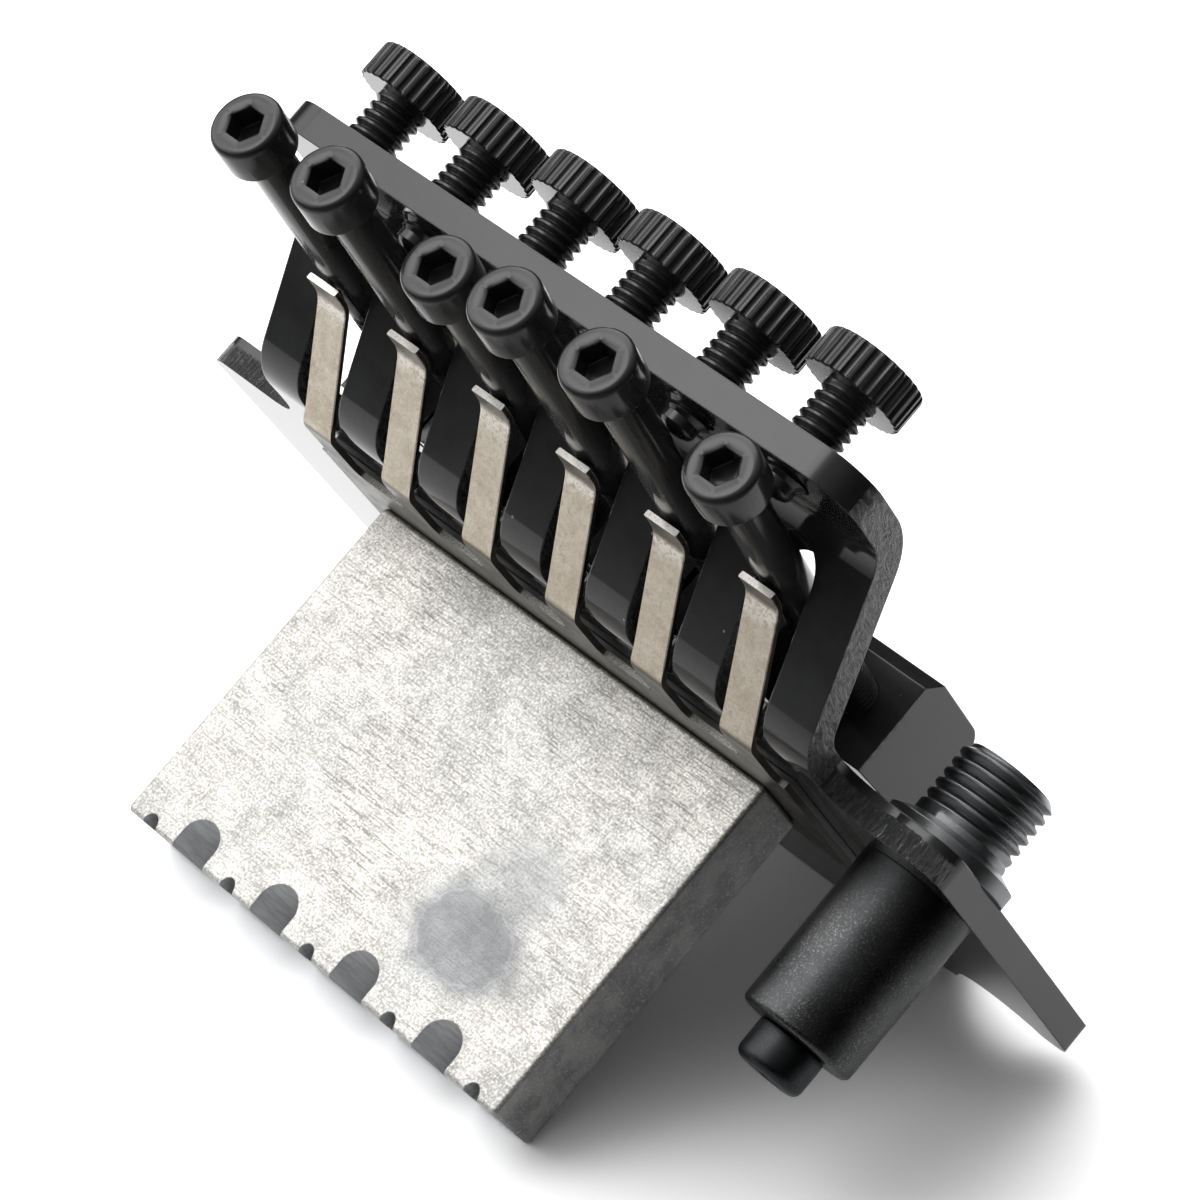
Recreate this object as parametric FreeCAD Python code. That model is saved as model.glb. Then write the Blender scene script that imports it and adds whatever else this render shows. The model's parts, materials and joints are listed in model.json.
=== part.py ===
"""Double-locking guitar tremolo bridge, one solid per piece, in millimetres.

X runs across the strings with the arm side at +X, Y runs towards the neck and Z is up.
The origin is the middle of the pivot line, at half the thickness of the base plate.
Strings are numbered from 1 at the far side from the arm to 6 at the arm side.
"""
import FreeCAD, Part
import math
import os

from FreeCAD import Vector

os.makedirs("parts", exist_ok=True)

# Strings
STRINGS = 6
STRING_PITCH = 10.6
INTONATION_TRAVEL = 6.4
intonation_shares = (0.05, -0.05, 0.73, 0.0, -0.03, 1.0)

# Clearances
RUNNING_GAP = 0.05
CONTACT_GAP = 0.2
SEAT_GAP = 0.05
FLEX_GAP = 0.15
OVERRUN = 10.0
HEXAGON_SIDES = 6

# Base plate: one bent sheet with a flat bed, a sloped wall and a tuner ledge
PLATE_THICKNESS = 3.0
LEFT_WING_REACH = 48.8
WING_EDGE_MARGIN = 0.95
WING_FRONT = 2.0
LEFT_WING_REAR = -39.4
RIGHT_WING_REAR = -41.7
WING_CORNER_RADIUS = 3.0
WING_ROOT_RADIUS = 5.0
WING_TIP_RADIUS = 1.8
BED_FRONT = 4.8
BED_HALF_WIDTH = 31.5
BED_CORNER_RADIUS = 2.5
WALL_HALF_WIDTH = 34.4
WALL_BEND_Y = -47.5
WALL_SLOPE_DEG = 53.0
LOWER_BEND_RADIUS = 3.0
UPPER_BEND_RADIUS = 4.0
LEDGE_TOP = 16.9
LEDGE_REAR = -72.2
LEDGE_CORNER_RADIUS = 4.5
SLOT_WIDTH = 5.6
SLOT_FOOT_RUN = 0.3
SLOT_TOP = 12.2

# Knife-edged notches in the front of the wings that rest on the two mounting studs
STUD_HALF_SPACING = 37.0
STUD_NOTCH_RADIUS = 5.0
KNIFE_BEVEL = 1.0

# Sustain block
BLOCK_WIDTH = 49.4
BLOCK_REAR = -35.2
BLOCK_THICKNESS = 8.4
BLOCK_HEIGHT = 36.0
BLOCK_EDGE_RADIUS = 0.5
SPRING_HOLES = 5
SPRING_HOLE_PITCH = 10.8
SPRING_HOLE_DIAMETER = 1.7
SPRING_HOLE_DEPTH = 6.0
SPRING_HOLE_TILT_DEG = 45.0
NOTCH_WIDTH = 4.2
NOTCH_HEIGHT = 3.9
BLOCK_SCREWS = 3
BLOCK_SCREW_PITCH = 17.0
BLOCK_SCREW_DIAMETER = 4.0
BLOCK_SCREW_HEAD_DIAMETER = 7.6
BLOCK_SCREW_DEPTH = 10.0
BLOCK_SCREW_KEY = 2.5
BLOCK_SCREW_KEY_DEPTH = 1.4

# Leaf spring comb: a flat base on the block, a backing sheet above it and six fingers
LEAF_THICKNESS = 0.6
BACKING_THICKNESS = 0.6
BACKING_INSET = 0.5
COMB_FRONT = -22.7
COMB_ROOT_RADIUS = 1.2
FINGER_WIDTH = 3.7
FINGER_FOOT_SETBACK = 0.1
FINGER_FOOT_RUN = 6.1
FINGER_FOOT_RADIUS = 1.5
FINGER_LEAVE_DEG = 39.5
FINGER_BEND_RADIUS = 2.8
FINGER_TIP_Y = -60.9
FINGER_TIP_DEG = 2.0

# Saddles, in distances forward of their rear face
SADDLE_REAR = -43.5
SADDLE_WIDTH = 9.8
SADDLE_TOP = 13.3
SADDLE_REAR_CHAMFER_RUN = 2.4
SADDLE_REAR_CHAMFER_RISE = 1.55
SADDLE_CREST = 12.6
SADDLE_CREST_RADIUS = 3.0
SADDLE_SLOPE_RUN = 6.4
SADDLE_TONGUE_TOP = 5.0
SADDLE_TONGUE_WIDTH = 7.4
SADDLE_PIVOT_RUN = 4.0
SADDLE_TOE = 4.2
SADDLE_FRONT_LIFT = 0.9
SADDLE_REAR_LIFT = 1.25
ROCKER_RADIUS = 2.2
POCKET_REAR = 3.2
POCKET_LENGTH = 6.8
POCKET_WIDTH = 6.2
POCKET_FLOOR = 3.6
STRING_SLOT_WIDTH = 1.5
STRING_SLOT_FLOOR = 10.4
TONGUE_HOLE_DIAMETER = 4.4

# Saddle screws
SADDLE_SCREW_DIAMETER = 3.0
SADDLE_SCREW_HEAD_DIAMETER = 5.5
SADDLE_SCREW_HEAD_HEIGHT = 3.0
SADDLE_SCREW_KEY = 2.5
SADDLE_SCREW_KEY_DEPTH = 1.6

# String clamp blocks in the saddle pockets
CLAMP_FRONT_GAP = 0.2103
CLAMP_REAR_GAP = 1.5897
CLAMP_HEIGHT = 8.0
CLAMP_SIDE_GAP = 0.1

# String lock screws
LOCK_FACE_Z = 10.05
LOCK_SLOPE_DEG = 3.0
LOCK_HEAD_DIAMETER = 6.5
LOCK_HEAD_HEIGHT = 4.0
LOCK_HEAD_CHAMFER = 0.45
LOCK_NECK_RADIUS = 0.4
LOCK_DIAMETER = 4.0
LOCK_LENGTH = 40.0
LOCK_KEY = 3.0
LOCK_KEY_DEPTH = 2.2
LOCK_THREAD_LENGTH = 16.0
LOCK_THREAD_PITCH = 0.7
LOCK_TIP_CHAMFER = 0.9

# Fine tuners
TUNER_Y = -68.4
TUNER_DIAMETER = 4.8
TUNER_LENGTH = 10.15
TUNER_THREAD_PITCH = 0.9
TUNER_HEAD_DIAMETER = 9.4
TUNER_HEAD_HEIGHT = 3.5
TUNER_RIM_ROUND = 0.5
TUNER_RIM_BEVEL = 0.15
TUNER_FLUTES = 28
TUNER_FLUTE_DIAMETER = 0.44
TUNER_FLUTE_STOP = 0.4
TUNER_TIP_RADIUS = 3.0
TUNER_TIP_DIAMETER = 3.4
TUNER_TIP_HEIGHT = 1.2

# Arm socket: a barrel under the wing with a threaded post through the plate
SOCKET_SADDLE_GAP = 1.95
SOCKET_Y = -31.2
BARREL_DIAMETER = 11.2
BARREL_LENGTH = 16.4
BARREL_CHAMFER = 0.6
POST_DIAMETER = 9.4
POST_TOP = 11.0
POST_THREAD_PITCH = 1.1
POST_TOP_CHAMFER = 0.6
POST_COLLAR_GAP = 0.4
ARM_BORE_DIAMETER = 6.0
ARM_BORE_FLOOR = -12.4
SOCKET_NUT_DIAMETER = 12.9
SOCKET_NUT_HEIGHT = 2.05
SOCKET_NUT_RIM_RUN = 1.5
SOCKET_NUT_RIM_RISE = 0.7
TENSION_SCREW_HEAD_DIAMETER = 6.6
TENSION_SCREW_HEAD_HEIGHT = 3.8
TENSION_SCREW_HEAD_CHAMFER = 0.7
TENSION_SCREW_DIAMETER = 4.0
TENSION_SCREW_LENGTH = 5.0
TENSION_SCREW_KEY = 3.0
TENSION_SCREW_KEY_DEPTH = 2.0

# Thread form, as shares of the pitch
thread_depth_share = 0.55
thread_crest_share = 0.14

# Levels that follow from the sizes above
PLATE_TOP = PLATE_THICKNESS / 2
PLATE_BOTTOM = -PLATE_THICKNESS / 2
COMB_TOP = PLATE_BOTTOM - BACKING_THICKNESS
BLOCK_TOP = COMB_TOP - LEAF_THICKNESS
SLOT_FOOT_Y = WALL_BEND_Y + SLOT_FOOT_RUN
FINGER_FOOT_Y = WALL_BEND_Y - FINGER_FOOT_SETBACK
COMB_ROOT_Y = FINGER_FOOT_Y + FINGER_FOOT_RUN
BLOCK_MIDDLE_Y = BLOCK_REAR + BLOCK_THICKNESS / 2
BEND_CENTRE_Z = PLATE_TOP + LOWER_BEND_RADIUS
SADDLE_NOSE = SADDLE_CREST + SADDLE_SLOPE_RUN
SADDLE_PIVOT = SADDLE_NOSE + SADDLE_PIVOT_RUN
SADDLE_LENGTH = SADDLE_PIVOT + SADDLE_TOE
POCKET_FRONT = POCKET_REAR + POCKET_LENGTH
CLAMP_LENGTH = POCKET_LENGTH - CLAMP_FRONT_GAP - CLAMP_REAR_GAP
CLAMP_REAR = SADDLE_REAR + POCKET_REAR + CLAMP_REAR_GAP
PIVOT_Z = PLATE_TOP + SEAT_GAP + ROCKER_RADIUS
OUTER_STRING_X = (STRINGS * STRING_PITCH - STRING_PITCH) / 2
COMB_HALF_WIDTH = OUTER_STRING_X + FINGER_WIDTH / 2 + COMB_ROOT_RADIUS
SOCKET_X = OUTER_STRING_X + SADDLE_WIDTH / 2 + SOCKET_SADDLE_GAP + SOCKET_NUT_DIAMETER / 2
RIGHT_WING_REACH = SOCKET_X + POST_DIAMETER / 2 + RUNNING_GAP + WING_EDGE_MARGIN
BARREL_TOP = PLATE_BOTTOM
BARREL_BOTTOM = BARREL_TOP - BARREL_LENGTH
wall_slope = math.radians(WALL_SLOPE_DEG)
lock_slope = math.radians(LOCK_SLOPE_DEG)
finger_leave = math.radians(FINGER_LEAVE_DEG)
LOCK_FACE_Y = CLAMP_REAR - FLEX_GAP - (LOCK_HEAD_HEIGHT + LOCK_LENGTH) * math.cos(lock_slope)
LOCK_DIRECTION = Vector(0, math.cos(lock_slope), -math.sin(lock_slope))
X_AXIS = Vector(1, 0, 0)
Z_AXIS = Vector(0, 0, 1)


def string_x(index):
    """Place across the bridge of one string, counted from 0."""
    return (index - (STRINGS - 1) / 2) * STRING_PITCH


def setback(index):
    """How far forward one saddle stands for its intonation."""
    return INTONATION_TRAVEL * intonation_shares[index]


def prism_along_x(points, x_low, x_high):
    """Solid from a closed outline of (y, z) points, drawn between two x planes."""
    corners = [Vector(x_low, y, z) for y, z in points]
    face = Part.Face(Part.makePolygon(corners + corners[:1]))
    return face.extrude(Vector(x_high - x_low, 0, 0))


def box_between(low, high):
    """Upright box between two opposite corners."""
    size = [b - a for a, b in zip(low, high)]
    return Part.makeBox(size[0], size[1], size[2], Vector(*low))


def turned(points):
    """Solid turned about Z from a closed outline of (radius, z) points."""
    corners = [Vector(r, 0, z) for r, z in points]
    face = Part.Face(Part.makePolygon(corners + corners[:1]))
    return face.revolve(Vector(0, 0, 0), Z_AXIS, 360)


def hexagon(across_flats, z_low, z_high):
    """Upright hexagonal prism on the Z axis."""
    radius = across_flats / 2 / math.cos(math.pi / HEXAGON_SIDES)
    corners = []
    for side in range(HEXAGON_SIDES):
        angle = 2 * math.pi * side / HEXAGON_SIDES
        corners.append(Vector(radius * math.cos(angle), radius * math.sin(angle), z_low))
    face = Part.Face(Part.makePolygon(corners + corners[:1]))
    return face.extrude(Vector(0, 0, z_high - z_low))


def thread_outline(radius, z_low, z_high, pitch):
    """Ridge points of a screw thread from z_low up to z_high, as (radius, z)."""
    count = max(1, int((z_high - z_low) / pitch))
    step = (z_high - z_low) / count
    root = radius - thread_depth_share * step
    crest = thread_crest_share * step
    points = [(root, z_low)]
    for turn in range(count):
        middle = z_low + (turn + 1 / 2) * step
        points.append((radius, middle - crest))
        points.append((radius, middle + crest))
        points.append((root, z_low + (turn + 1) * step))
    return points


def corner_waste(x, y, radius, z_low, z_high):
    """Waste that rounds the corner at (x, y) of a sheet that lies towards the origin's x and +y."""
    side = math.copysign(1, x)
    cut = box_between(
        (min(x, x - side * radius), y, z_low), (max(x, x - side * radius), y + radius, z_high)
    )
    rounding = Part.makeCylinder(radius, z_high - z_low, Vector(x - side * radius, y + radius, z_low))
    return cut.cut(rounding)


def front_corner_waste(x, y, radius):
    """Waste that rounds a front corner of the plate."""
    waste = corner_waste(x, -y, radius, PLATE_BOTTOM, PLATE_TOP)
    return waste.mirror(Vector(0, 0, 0), Vector(0, 1, 0))


def stud_notch(x):
    """Waste of one half-round notch, bevelled from both faces to a knife edge on the pivot line."""
    wide = STUD_NOTCH_RADIUS + KNIFE_BEVEL
    outline = [(0, PLATE_BOTTOM), (wide, PLATE_BOTTOM), (STUD_NOTCH_RADIUS, 0)]
    outline += [(wide, PLATE_TOP), (0, PLATE_TOP)]
    waste = turned(outline)
    waste.translate(Vector(x, STUD_NOTCH_RADIUS, 0))
    return waste


def sheet_profile():
    """Side outline of the bent plate: bed, lower bend, wall, upper bend and ledge."""
    cos_slope = math.cos(wall_slope)
    sin_slope = math.sin(wall_slope)
    bed_end = Vector(0, WALL_BEND_Y, 0)
    lower_centre = bed_end + Vector(0, 0, BEND_CENTRE_Z)
    upper_middle_radius = UPPER_BEND_RADIUS + PLATE_THICKNESS / 2
    upper_centre_z = LEDGE_TOP - PLATE_THICKNESS - UPPER_BEND_RADIUS
    lower_middle_radius = BEND_CENTRE_Z
    rise = LEDGE_TOP - PLATE_THICKNESS / 2
    rise -= (lower_middle_radius + upper_middle_radius) * (1 - cos_slope)
    run = rise / math.tan(wall_slope)
    upper_y = WALL_BEND_Y - (lower_middle_radius + upper_middle_radius) * sin_slope - run
    upper_centre = Vector(0, upper_y, upper_centre_z)

    def on_lower(radius, share):
        angle = wall_slope * share
        return lower_centre + Vector(0, -radius * math.sin(angle), -radius * math.cos(angle))

    def on_upper(radius, share):
        angle = wall_slope * (1 - share)
        return upper_centre + Vector(0, radius * math.sin(angle), radius * math.cos(angle))

    half = 1 / 2
    inner = LOWER_BEND_RADIUS
    outer = LOWER_BEND_RADIUS + PLATE_THICKNESS
    under = UPPER_BEND_RADIUS
    over = UPPER_BEND_RADIUS + PLATE_THICKNESS
    front_top = Vector(0, WING_FRONT, PLATE_TOP)
    front_bottom = Vector(0, WING_FRONT, PLATE_BOTTOM)
    rear_top = Vector(0, LEDGE_REAR, LEDGE_TOP)
    rear_bottom = Vector(0, LEDGE_REAR, LEDGE_TOP - PLATE_THICKNESS)
    edges = [
        Part.LineSegment(front_top, on_lower(inner, 0)),
        Part.Arc(on_lower(inner, 0), on_lower(inner, half), on_lower(inner, 1)),
        Part.LineSegment(on_lower(inner, 1), on_upper(over, 0)),
        Part.Arc(on_upper(over, 0), on_upper(over, half), on_upper(over, 1)),
        Part.LineSegment(on_upper(over, 1), rear_top),
        Part.LineSegment(rear_top, rear_bottom),
        Part.LineSegment(rear_bottom, on_upper(under, 1)),
        Part.Arc(on_upper(under, 1), on_upper(under, half), on_upper(under, 0)),
        Part.LineSegment(on_upper(under, 0), on_lower(outer, 1)),
        Part.Arc(on_lower(outer, 1), on_lower(outer, half), on_lower(outer, 0)),
        Part.LineSegment(on_lower(outer, 0), front_bottom),
        Part.LineSegment(front_bottom, front_top),
    ]
    return Part.Face(Part.Wire([edge.toShape() for edge in edges]))


def upright_slot(x):
    """Waste of one round-ended slot that runs from the end of the bed through the bend and up the wall."""
    radius = SLOT_WIDTH / 2
    rear = LEDGE_REAR - OVERRUN
    foot = SLOT_FOOT_Y - radius
    high = SLOT_TOP - radius
    waste = box_between((x - radius, rear, PLATE_BOTTOM), (x + radius, foot, high))
    arch = Part.makeCylinder(radius, foot - rear, Vector(x, rear, high), Vector(0, 1, 0))
    end = Part.makeCylinder(radius, BEND_CENTRE_Z - PLATE_BOTTOM, Vector(x, foot, PLATE_BOTTOM))
    return waste.fuse(arch).fuse(end)


def block_screw_places():
    """Places of the screws that hold the block, along X."""
    return [(n - (BLOCK_SCREWS - 1) / 2) * BLOCK_SCREW_PITCH for n in range(BLOCK_SCREWS)]


def block_screw(gap):
    """Countersunk screw through the plate into the block, grown by a gap for its hole."""
    head_radius = BLOCK_SCREW_HEAD_DIAMETER / 2 + gap
    radius = BLOCK_SCREW_DIAMETER / 2 + gap
    cone_end = PLATE_TOP - (head_radius - radius)
    tip = BLOCK_TOP - BLOCK_SCREW_DEPTH - gap
    return turned([(0, PLATE_TOP), (head_radius, PLATE_TOP), (radius, cone_end), (radius, tip), (0, tip)])


def saddle_screw_y(index):
    """Place of one saddle screw, which is also where its saddle rocks."""
    return SADDLE_REAR + SADDLE_PIVOT + setback(index)


def make_base_plate():
    profile = sheet_profile()
    profile.translate(Vector(-WALL_HALF_WIDTH, 0, 0))
    plate = profile.extrude(Vector(2 * WALL_HALF_WIDTH, 0, 0))
    bed = box_between(
        (-BED_HALF_WIDTH, WING_FRONT, PLATE_BOTTOM), (BED_HALF_WIDTH, BED_FRONT, PLATE_TOP)
    )
    plate = plate.fuse(bed)
    root = WING_ROOT_RADIUS
    wings = ((-1, LEFT_WING_REACH, LEFT_WING_REAR), (1, RIGHT_WING_REACH, RIGHT_WING_REAR))
    for side, reach, wing_rear in wings:
        inner = side * WALL_HALF_WIDTH
        outer = side * reach
        wing = box_between(
            (min(inner, outer), wing_rear, PLATE_BOTTOM),
            (max(inner, outer), WING_FRONT, PLATE_TOP),
        )
        fillet = box_between(
            (min(inner, inner + side * root), wing_rear - root, PLATE_BOTTOM),
            (max(inner, inner + side * root), wing_rear, PLATE_TOP),
        )
        hollow = Part.makeCylinder(
            root, PLATE_THICKNESS, Vector(inner + side * root, wing_rear - root, PLATE_BOTTOM)
        )
        plate = plate.fuse(wing).fuse(fillet.cut(hollow))
        plate = plate.cut(corner_waste(outer, wing_rear, WING_CORNER_RADIUS, PLATE_BOTTOM, PLATE_TOP))
        ledge_waste = corner_waste(
            inner, LEDGE_REAR, LEDGE_CORNER_RADIUS, LEDGE_TOP - PLATE_THICKNESS, LEDGE_TOP
        )
        plate = plate.cut(ledge_waste)
        plate = plate.cut(front_corner_waste(outer, WING_FRONT, WING_TIP_RADIUS))
        plate = plate.cut(front_corner_waste(side * BED_HALF_WIDTH, BED_FRONT, BED_CORNER_RADIUS))
        plate = plate.cut(stud_notch(side * STUD_HALF_SPACING))
    for index in range(STRINGS):
        x = string_x(index)
        plate = plate.cut(upright_slot(x))
        tuner_hole = Part.makeCylinder(
            TUNER_DIAMETER / 2 + RUNNING_GAP,
            PLATE_THICKNESS,
            Vector(x, TUNER_Y, LEDGE_TOP - PLATE_THICKNESS),
        )
        screw_hole = Part.makeCylinder(
            SADDLE_SCREW_DIAMETER / 2 + RUNNING_GAP,
            PLATE_THICKNESS,
            Vector(x, saddle_screw_y(index), PLATE_BOTTOM),
        )
        plate = plate.cut(tuner_hole).cut(screw_hole)
    for x in block_screw_places():
        waste = block_screw(RUNNING_GAP)
        waste.translate(Vector(x, BLOCK_MIDDLE_Y, 0))
        plate = plate.cut(waste)
    post_hole = Part.makeCylinder(
        POST_DIAMETER / 2 + RUNNING_GAP, PLATE_THICKNESS, Vector(SOCKET_X, SOCKET_Y, PLATE_BOTTOM)
    )
    return plate.cut(post_hole)


def make_sustain_block():
    bottom = BLOCK_TOP - BLOCK_HEIGHT
    block = box_between(
        (-BLOCK_WIDTH / 2, BLOCK_REAR, bottom),
        (BLOCK_WIDTH / 2, BLOCK_REAR + BLOCK_THICKNESS, BLOCK_TOP),
    )
    block = block.makeFillet(BLOCK_EDGE_RADIUS, block.Edges)
    tilt = math.radians(SPRING_HOLE_TILT_DEG)
    drill = Vector(0, math.cos(tilt), math.sin(tilt))
    radius = NOTCH_WIDTH / 2
    for hole in range(SPRING_HOLES):
        x = (hole - (SPRING_HOLES - 1) / 2) * SPRING_HOLE_PITCH
        start = Vector(x, BLOCK_REAR, bottom) - drill * SPRING_HOLE_DEPTH
        block = block.cut(
            Part.makeCylinder(SPRING_HOLE_DIAMETER / 2, 2 * SPRING_HOLE_DEPTH, start, drill)
        )
    for gap in range(SPRING_HOLES - 1):
        x = (gap - (SPRING_HOLES - 2) / 2) * SPRING_HOLE_PITCH
        arch_z = bottom + NOTCH_HEIGHT - radius
        notch = box_between(
            (x - radius, BLOCK_REAR - OVERRUN, bottom - OVERRUN),
            (x + radius, BLOCK_REAR + BLOCK_THICKNESS + OVERRUN, arch_z),
        )
        arch = Part.makeCylinder(
            radius,
            BLOCK_THICKNESS + 2 * OVERRUN,
            Vector(x, BLOCK_REAR - OVERRUN, arch_z),
            Vector(0, 1, 0),
        )
        block = block.cut(notch).cut(arch)
    for x in block_screw_places():
        waste = block_screw(RUNNING_GAP)
        waste.translate(Vector(x, BLOCK_MIDDLE_Y, 0))
        block = block.cut(waste)
    return block


def make_block_screws():
    screws = []
    for x in block_screw_places():
        screw = block_screw(0)
        screw = screw.cut(hexagon(BLOCK_SCREW_KEY, PLATE_TOP - BLOCK_SCREW_KEY_DEPTH, PLATE_TOP))
        screw.translate(Vector(x, BLOCK_MIDDLE_Y, 0))
        screws.append(screw)
    return Part.makeCompound(screws)


def foot_point(radius, angle):
    """Point (y, z) on the bend at the foot of a finger, at an angle along the bend."""
    middle = FINGER_FOOT_RADIUS + LEAF_THICKNESS / 2
    centre_y = FINGER_FOOT_Y + middle * math.tan(finger_leave / 2)
    centre_z = COMB_TOP + FINGER_FOOT_RADIUS
    return (centre_y - radius * math.sin(angle), centre_z - radius * math.cos(angle))


def flex_point():
    """Where a finger flexes: the end of the bend at its foot, at half its thickness."""
    return foot_point(FINGER_FOOT_RADIUS + LEAF_THICKNESS / 2, finger_leave)


def clearance_holes(z_low, z_high):
    """Waste of the block screw holes through a sheet."""
    radius = BLOCK_SCREW_DIAMETER / 2 + CONTACT_GAP
    holes = [
        Part.makeCylinder(radius, z_high - z_low, Vector(x, BLOCK_MIDDLE_Y, z_low))
        for x in block_screw_places()
    ]
    return Part.makeCompound(holes)


def finger_foot(index):
    """Flat foot of one finger and the bend that ends it."""
    inner = FINGER_FOOT_RADIUS
    outer = inner + LEAF_THICKNESS
    half = finger_leave / 2
    x = string_x(index) - FINGER_WIDTH / 2

    def corner(radius, angle):
        return Vector(x, *foot_point(radius, angle))

    root_top = Vector(x, COMB_ROOT_Y, COMB_TOP)
    root_bottom = Vector(x, COMB_ROOT_Y, BLOCK_TOP)
    edges = [
        Part.LineSegment(root_top, corner(inner, 0)),
        Part.Arc(corner(inner, 0), corner(inner, half), corner(inner, finger_leave)),
        Part.LineSegment(corner(inner, finger_leave), corner(outer, finger_leave)),
        Part.Arc(corner(outer, finger_leave), corner(outer, half), corner(outer, 0)),
        Part.LineSegment(corner(outer, 0), root_bottom),
        Part.LineSegment(root_bottom, root_top),
    ]
    face = Part.Face(Part.Wire([edge.toShape() for edge in edges]))
    return face.extrude(Vector(FINGER_WIDTH, 0, 0))


def make_spring_comb():
    """Flat base of the comb with the feet of the fingers, rounded where they part."""
    comb = box_between(
        (-COMB_HALF_WIDTH, COMB_ROOT_Y, BLOCK_TOP), (COMB_HALF_WIDTH, COMB_FRONT, COMB_TOP)
    )
    radius = COMB_ROOT_RADIUS
    for index in range(STRINGS):
        comb = comb.fuse(finger_foot(index))
        for side in (-1, 1):
            x = string_x(index) + side * FINGER_WIDTH / 2
            root = box_between(
                (min(x, x + side * radius), COMB_ROOT_Y - radius, BLOCK_TOP),
                (max(x, x + side * radius), COMB_ROOT_Y, COMB_TOP),
            )
            centre = Vector(x + side * radius, COMB_ROOT_Y - radius, BLOCK_TOP)
            comb = comb.fuse(root.cut(Part.makeCylinder(radius, LEAF_THICKNESS, centre)))
    return comb.removeSplitter().cut(clearance_holes(BLOCK_TOP, COMB_TOP))


def make_comb_backing():
    rear = COMB_ROOT_Y + BACKING_INSET
    sheet = box_between((-COMB_HALF_WIDTH, rear, COMB_TOP), (COMB_HALF_WIDTH, COMB_FRONT, PLATE_BOTTOM))
    return sheet.cut(clearance_holes(COMB_TOP, PLATE_BOTTOM))


def lock_axis_z(index, y):
    """Height of one lock screw's axis at a place along Y."""
    return LOCK_FACE_Z - (y - LOCK_FACE_Y - setback(index)) * math.tan(lock_slope)


def make_spring_finger(index):
    """Free length of one finger: a straight rise and a tip that bears under the lock screw."""
    half = LEAF_THICKNESS / 2
    flex_y, flex_z = flex_point()
    tip_angle = math.radians(FINGER_TIP_DEG)
    shaft_under = lock_axis_z(index, FINGER_TIP_Y) - LOCK_DIAMETER / 2 / math.cos(lock_slope)
    tip_z = shaft_under - CONTACT_GAP - half
    # The straight rise meets the line of the tip
    rise = math.tan(finger_leave)
    tip_rise = math.tan(tip_angle)
    reach = (tip_z - flex_z - (flex_y - FINGER_TIP_Y) * tip_rise) / (rise - tip_rise)
    bend_y = flex_y - reach
    bend_z = flex_z + reach * rise
    turn = finger_leave - tip_angle
    radius = FINGER_BEND_RADIUS + half
    trim = radius * math.tan(turn / 2)
    up = Vector(0, -math.cos(finger_leave), math.sin(finger_leave))
    out = Vector(0, -math.cos(tip_angle), math.sin(tip_angle))
    corner = Vector(0, bend_y, bend_z)
    root = Vector(0, flex_y, flex_z) + up * FLEX_GAP
    first = corner - up * trim
    last = corner + out * trim
    tip = Vector(0, FINGER_TIP_Y, tip_z)
    left_of_up = Vector(0, math.sin(finger_leave), math.cos(finger_leave))
    left_of_out = Vector(0, math.sin(tip_angle), math.cos(tip_angle))
    centre = first - left_of_up * radius
    middle = finger_leave - turn / 2
    left_of_middle = Vector(0, math.sin(middle), math.cos(middle))

    def bent(offset):
        reach_radius = radius + offset
        return (
            first + left_of_up * offset,
            centre + left_of_middle * reach_radius,
            last + left_of_out * offset,
        )

    over = bent(half)
    under = bent(-half)
    root_over = root + left_of_up * half
    root_under = root - left_of_up * half
    tip_over = tip + left_of_out * half
    tip_under = tip - left_of_out * half
    edges = [
        Part.LineSegment(root_over, over[0]),
        Part.Arc(*over),
        Part.LineSegment(over[2], tip_over),
        Part.LineSegment(tip_over, tip_under),
        Part.LineSegment(tip_under, under[2]),
        Part.Arc(under[2], under[1], under[0]),
        Part.LineSegment(under[0], root_under),
        Part.LineSegment(root_under, root_over),
    ]
    face = Part.Face(Part.Wire([edge.toShape() for edge in edges]))
    face.translate(Vector(string_x(index) - FINGER_WIDTH / 2, 0, 0))
    return face.extrude(Vector(FINGER_WIDTH, 0, 0))


def lock_placed(shape, index, slide):
    """Lay a shape that is drawn along +Z from the lock screw's face on its axis."""
    start = Vector(string_x(index), LOCK_FACE_Y + setback(index), LOCK_FACE_Z)
    placed = shape.copy()
    placed.Placement = FreeCAD.Placement(
        start + LOCK_DIRECTION * slide, FreeCAD.Rotation(Z_AXIS, LOCK_DIRECTION)
    )
    return placed


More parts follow.
